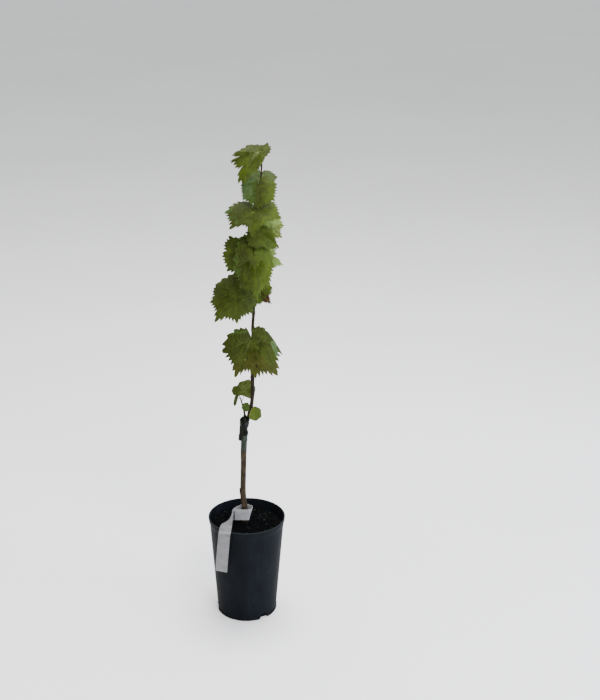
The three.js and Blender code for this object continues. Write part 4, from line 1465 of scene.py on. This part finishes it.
def add_veins(shape, leaf):
    count = teeth_per_lobe(leaf)
    root_radius = VEIN_ROOT_RADIUS * leaf.size
    shares = [mix(0.02, 0.95, i / VEIN_STEPS) for i in range(VEIN_STEPS + 1)]
    lobes = [(0, 0), (LATERAL_ANGLE, count), (LOBE_ANGLE, 2 * count)]
    for lobe, phase in lobes:
        for side in (1,) if lobe == 0 else (1, -1):
            marks = [(share, phase, side) for share in shares]
            add_vein(shape, leaf, marks, root_radius, root_radius * VEIN_TIP_SHARE)
    for lobe, phase in lobes:
        for side in (1, -1):
            for outward in (1,) if lobe == 0 else (1, -1):
                add_side_veins(shape, leaf, lobe, phase, side, outward)


def add_side_veins(shape, leaf, lobe, phase, side, outward):
    """Side veins leave the main vein one after another and cross the lobe to its margin."""
    count = teeth_per_lobe(leaf)
    basal = lobe == LOBE_ANGLE and outward > 0
    span = count / 2
    if basal:
        span = count * BASAL_SPAN / (180 - LOBE_ANGLE) * BASAL_VEIN_SLANT
    start = vein_start(lobe + outward, lobe, side)
    while start < SIDE_VEIN_LAST:
        reach = SIDE_VEIN_END - start
        root = VEIN_ROOT_RADIUS * leaf.size * SIDE_VEIN_SHARE * (1 - 0.5 * start)
        marks = []
        for i in range(SIDE_VEIN_STEPS + 1):
            across = reach * i / SIDE_VEIN_STEPS
            marks.append((start + across, phase + outward * across * span, side))
        add_vein(shape, leaf, marks, root, root * SIDE_VEIN_TIP_SHARE, sides=5)
        start += VEIN_STEP


def add_stalk(shape, leaf, root):
    away = leaf.at - root
    length = away.length
    out = Vector((away.x, away.y, 0)).normalized()
    leave = root + out * (length * STALK_OUT) + Vector((0, 0, length * STALK_UP))
    arrive = leaf.at - leaf.frame.normal * (length * STALK_BEHIND)
    arrive += leaf.frame.midrib * (length * STALK_FORWARD)
    thick = max(leaf.size * STALK_RADIUS, STALK_LEAST_RADIUS)

    def radius(share, *_):
        foot = math.exp(-((share * length / (STALK_SWELL_LENGTH * thick)) ** 2))
        top = math.exp(-(((1 - share) * length / (STALK_TOP_LENGTH * thick)) ** 2))
        return thick * (STALK_WAIST + STALK_FOOT_SWELL * foot + STALK_TOP_SWELL * top)

    end = leaf.at - leaf.frame.normal * (thick * 0.8)
    shares = [i / STALK_RINGS for i in range(STALK_RINGS + 1)]
    centres = [bezier(root, leave, arrive, end, share) for share in shares]
    shape.tube(centres, radius, STALK_SIDES, STALK)


def grown_leaf(row):
    leaf = SimpleNamespace(**{**LEAF_DEFAULTS, "node": row.get("node", row["size"]), **row})
    leaf.at = Vector(leaf.at)
    leaf.frame = leaf_frame(leaf)
    return leaf


def add_leaf(shape, row, root):
    leaf = grown_leaf(row)
    add_stalk(shape, leaf, root)
    add_blade(shape, leaf)
    add_veins(shape, leaf)


def make_leaves(shoot_line):
    for i, row in enumerate(LEAVES):
        node = f"leaf_{i + 1:02d}"
        shape = Shape()
        add_leaf(shape, row, shoot_line.at_height(row["node"]))
        add_piece(f"vine_{node}", shape, LEAF_FINISHES, node, sharp_over=60)


def make_sprout(line):
    def radius(share, *_):
        return mix(SPROUT_ROOT_RADIUS, SPROUT_TIP_RADIUS, share)

    shape = Shape()
    shape.tube(line.places(30), radius, 14, STALK)
    for row in SPROUT_LEAVES:
        add_leaf(shape, row, line.at(row["along"]))
    add_piece("vine_sprout", shape, LEAF_FINISHES, "side_sprout", sharp_over=60)


# The label: a flat strip whose width turns as it leaves the trunk and lies over the rim
def make_label():
    line = Line([at for at, _ in LABEL_LINE])
    turn = Line([across for _, across in LABEL_LINE])
    shape = Shape()
    step = 1e-3
    rows = [mix(-0.5, 0.5, j / LABEL_ROWS) * LABEL_WIDTH for j in range(LABEL_ROWS + 1)]
    sections = []
    for i in range(LABEL_STEPS + 1):
        share = i / LABEL_STEPS
        centre = line.by_point(share)
        ahead = line.by_point(min(share + step, 1)) - line.by_point(max(share - step, 0))
        ahead.normalize()
        across = turn.by_point(share)
        across = (across - ahead * ahead.dot(across)).normalized()
        half = ahead.cross(across) * (LABEL_THICKNESS / 2)
        front = [centre + across * w + half for w in rows]
        back = [centre + across * w - half for w in reversed(rows)]
        sections.append(shape.ring(front + back))
    for i, (before, after) in enumerate(zip(sections, sections[1:])):
        # the tail and its end take the darker film: painted shade
        shape.join_rings(after, before, finish=1 if i > LABEL_PAINTED_SHADE_FROM * LABEL_STEPS else 0)
    shape.face(sections[0])
    shape.face(sections[-1][::-1], 1)
    add_piece("strip_label", shape, LABEL_FILMS, "label", sharp_over=35)


# The studio
def looking(place, aim):
    """The turn of a camera or a light that stands at a place and looks at its aim."""
    return (aim - place).to_track_quat("-Z", "Y").to_matrix().to_4x4()


def make_camera():
    data = bpy.data.cameras.new("camera")
    data.lens = CAMERA_LENS
    camera = make_object("camera", data)
    roll = Matrix.Rotation(math.radians(CAMERA_ROLL), 4, "Z")
    look = looking(CAMERA_PLACE, CAMERA_AIM)
    camera.matrix_world = Matrix.Translation(CAMERA_PLACE * MM) @ look @ roll
    bpy.context.scene.camera = camera


def soft_light(name, place, size, power, colour):
    """A round softbox; its place is in metres."""
    data = bpy.data.lights.new(name, "AREA")
    data.shape = "DISK"
    data.size = size
    data.energy = power
    data.color = linear(colour)[:3]
    light = make_object(name, data)
    place = Vector(place)
    light.matrix_world = Matrix.Translation(place) @ looking(place, LIGHT_AIM)


def make_studio():
    bpy.ops.mesh.primitive_plane_add(size=FLOOR_SIZE)
    floor = bpy.context.object
    floor.name = "studio_floor"
    floor.data.materials.append(STUDIO_FLOOR)
    world = bpy.data.worlds.new("studio")
    bpy.context.scene.world = world
    world.use_nodes = True
    backdrop = world.node_tree.nodes["Background"]
    backdrop.inputs["Color"].default_value = linear("#f4f6f8")
    backdrop.inputs["Strength"].default_value = SKY_STRENGTH
    soft_light("key_light", (0.8, -2.1, 2.7), 1.4, 88, "#fffaf2")
    soft_light("side_light", (2.4, -0.8, 1.0), 1.6, 60, "#c8d9ff")
    soft_light("top_light", (0.2, 0.6, 3.0), 1.8, 125, "#ffffff")


make_camera()
SHOOT = Line(SHOOT_LINE)
SPROUT = Line(SPROUT_LINE)
make_pot()
make_compost()
make_trunk()
make_graft(SHOOT, SPROUT)
make_shoot(SHOOT)
make_leaves(SHOOT)
make_sprout(SPROUT)
make_label()
make_studio()
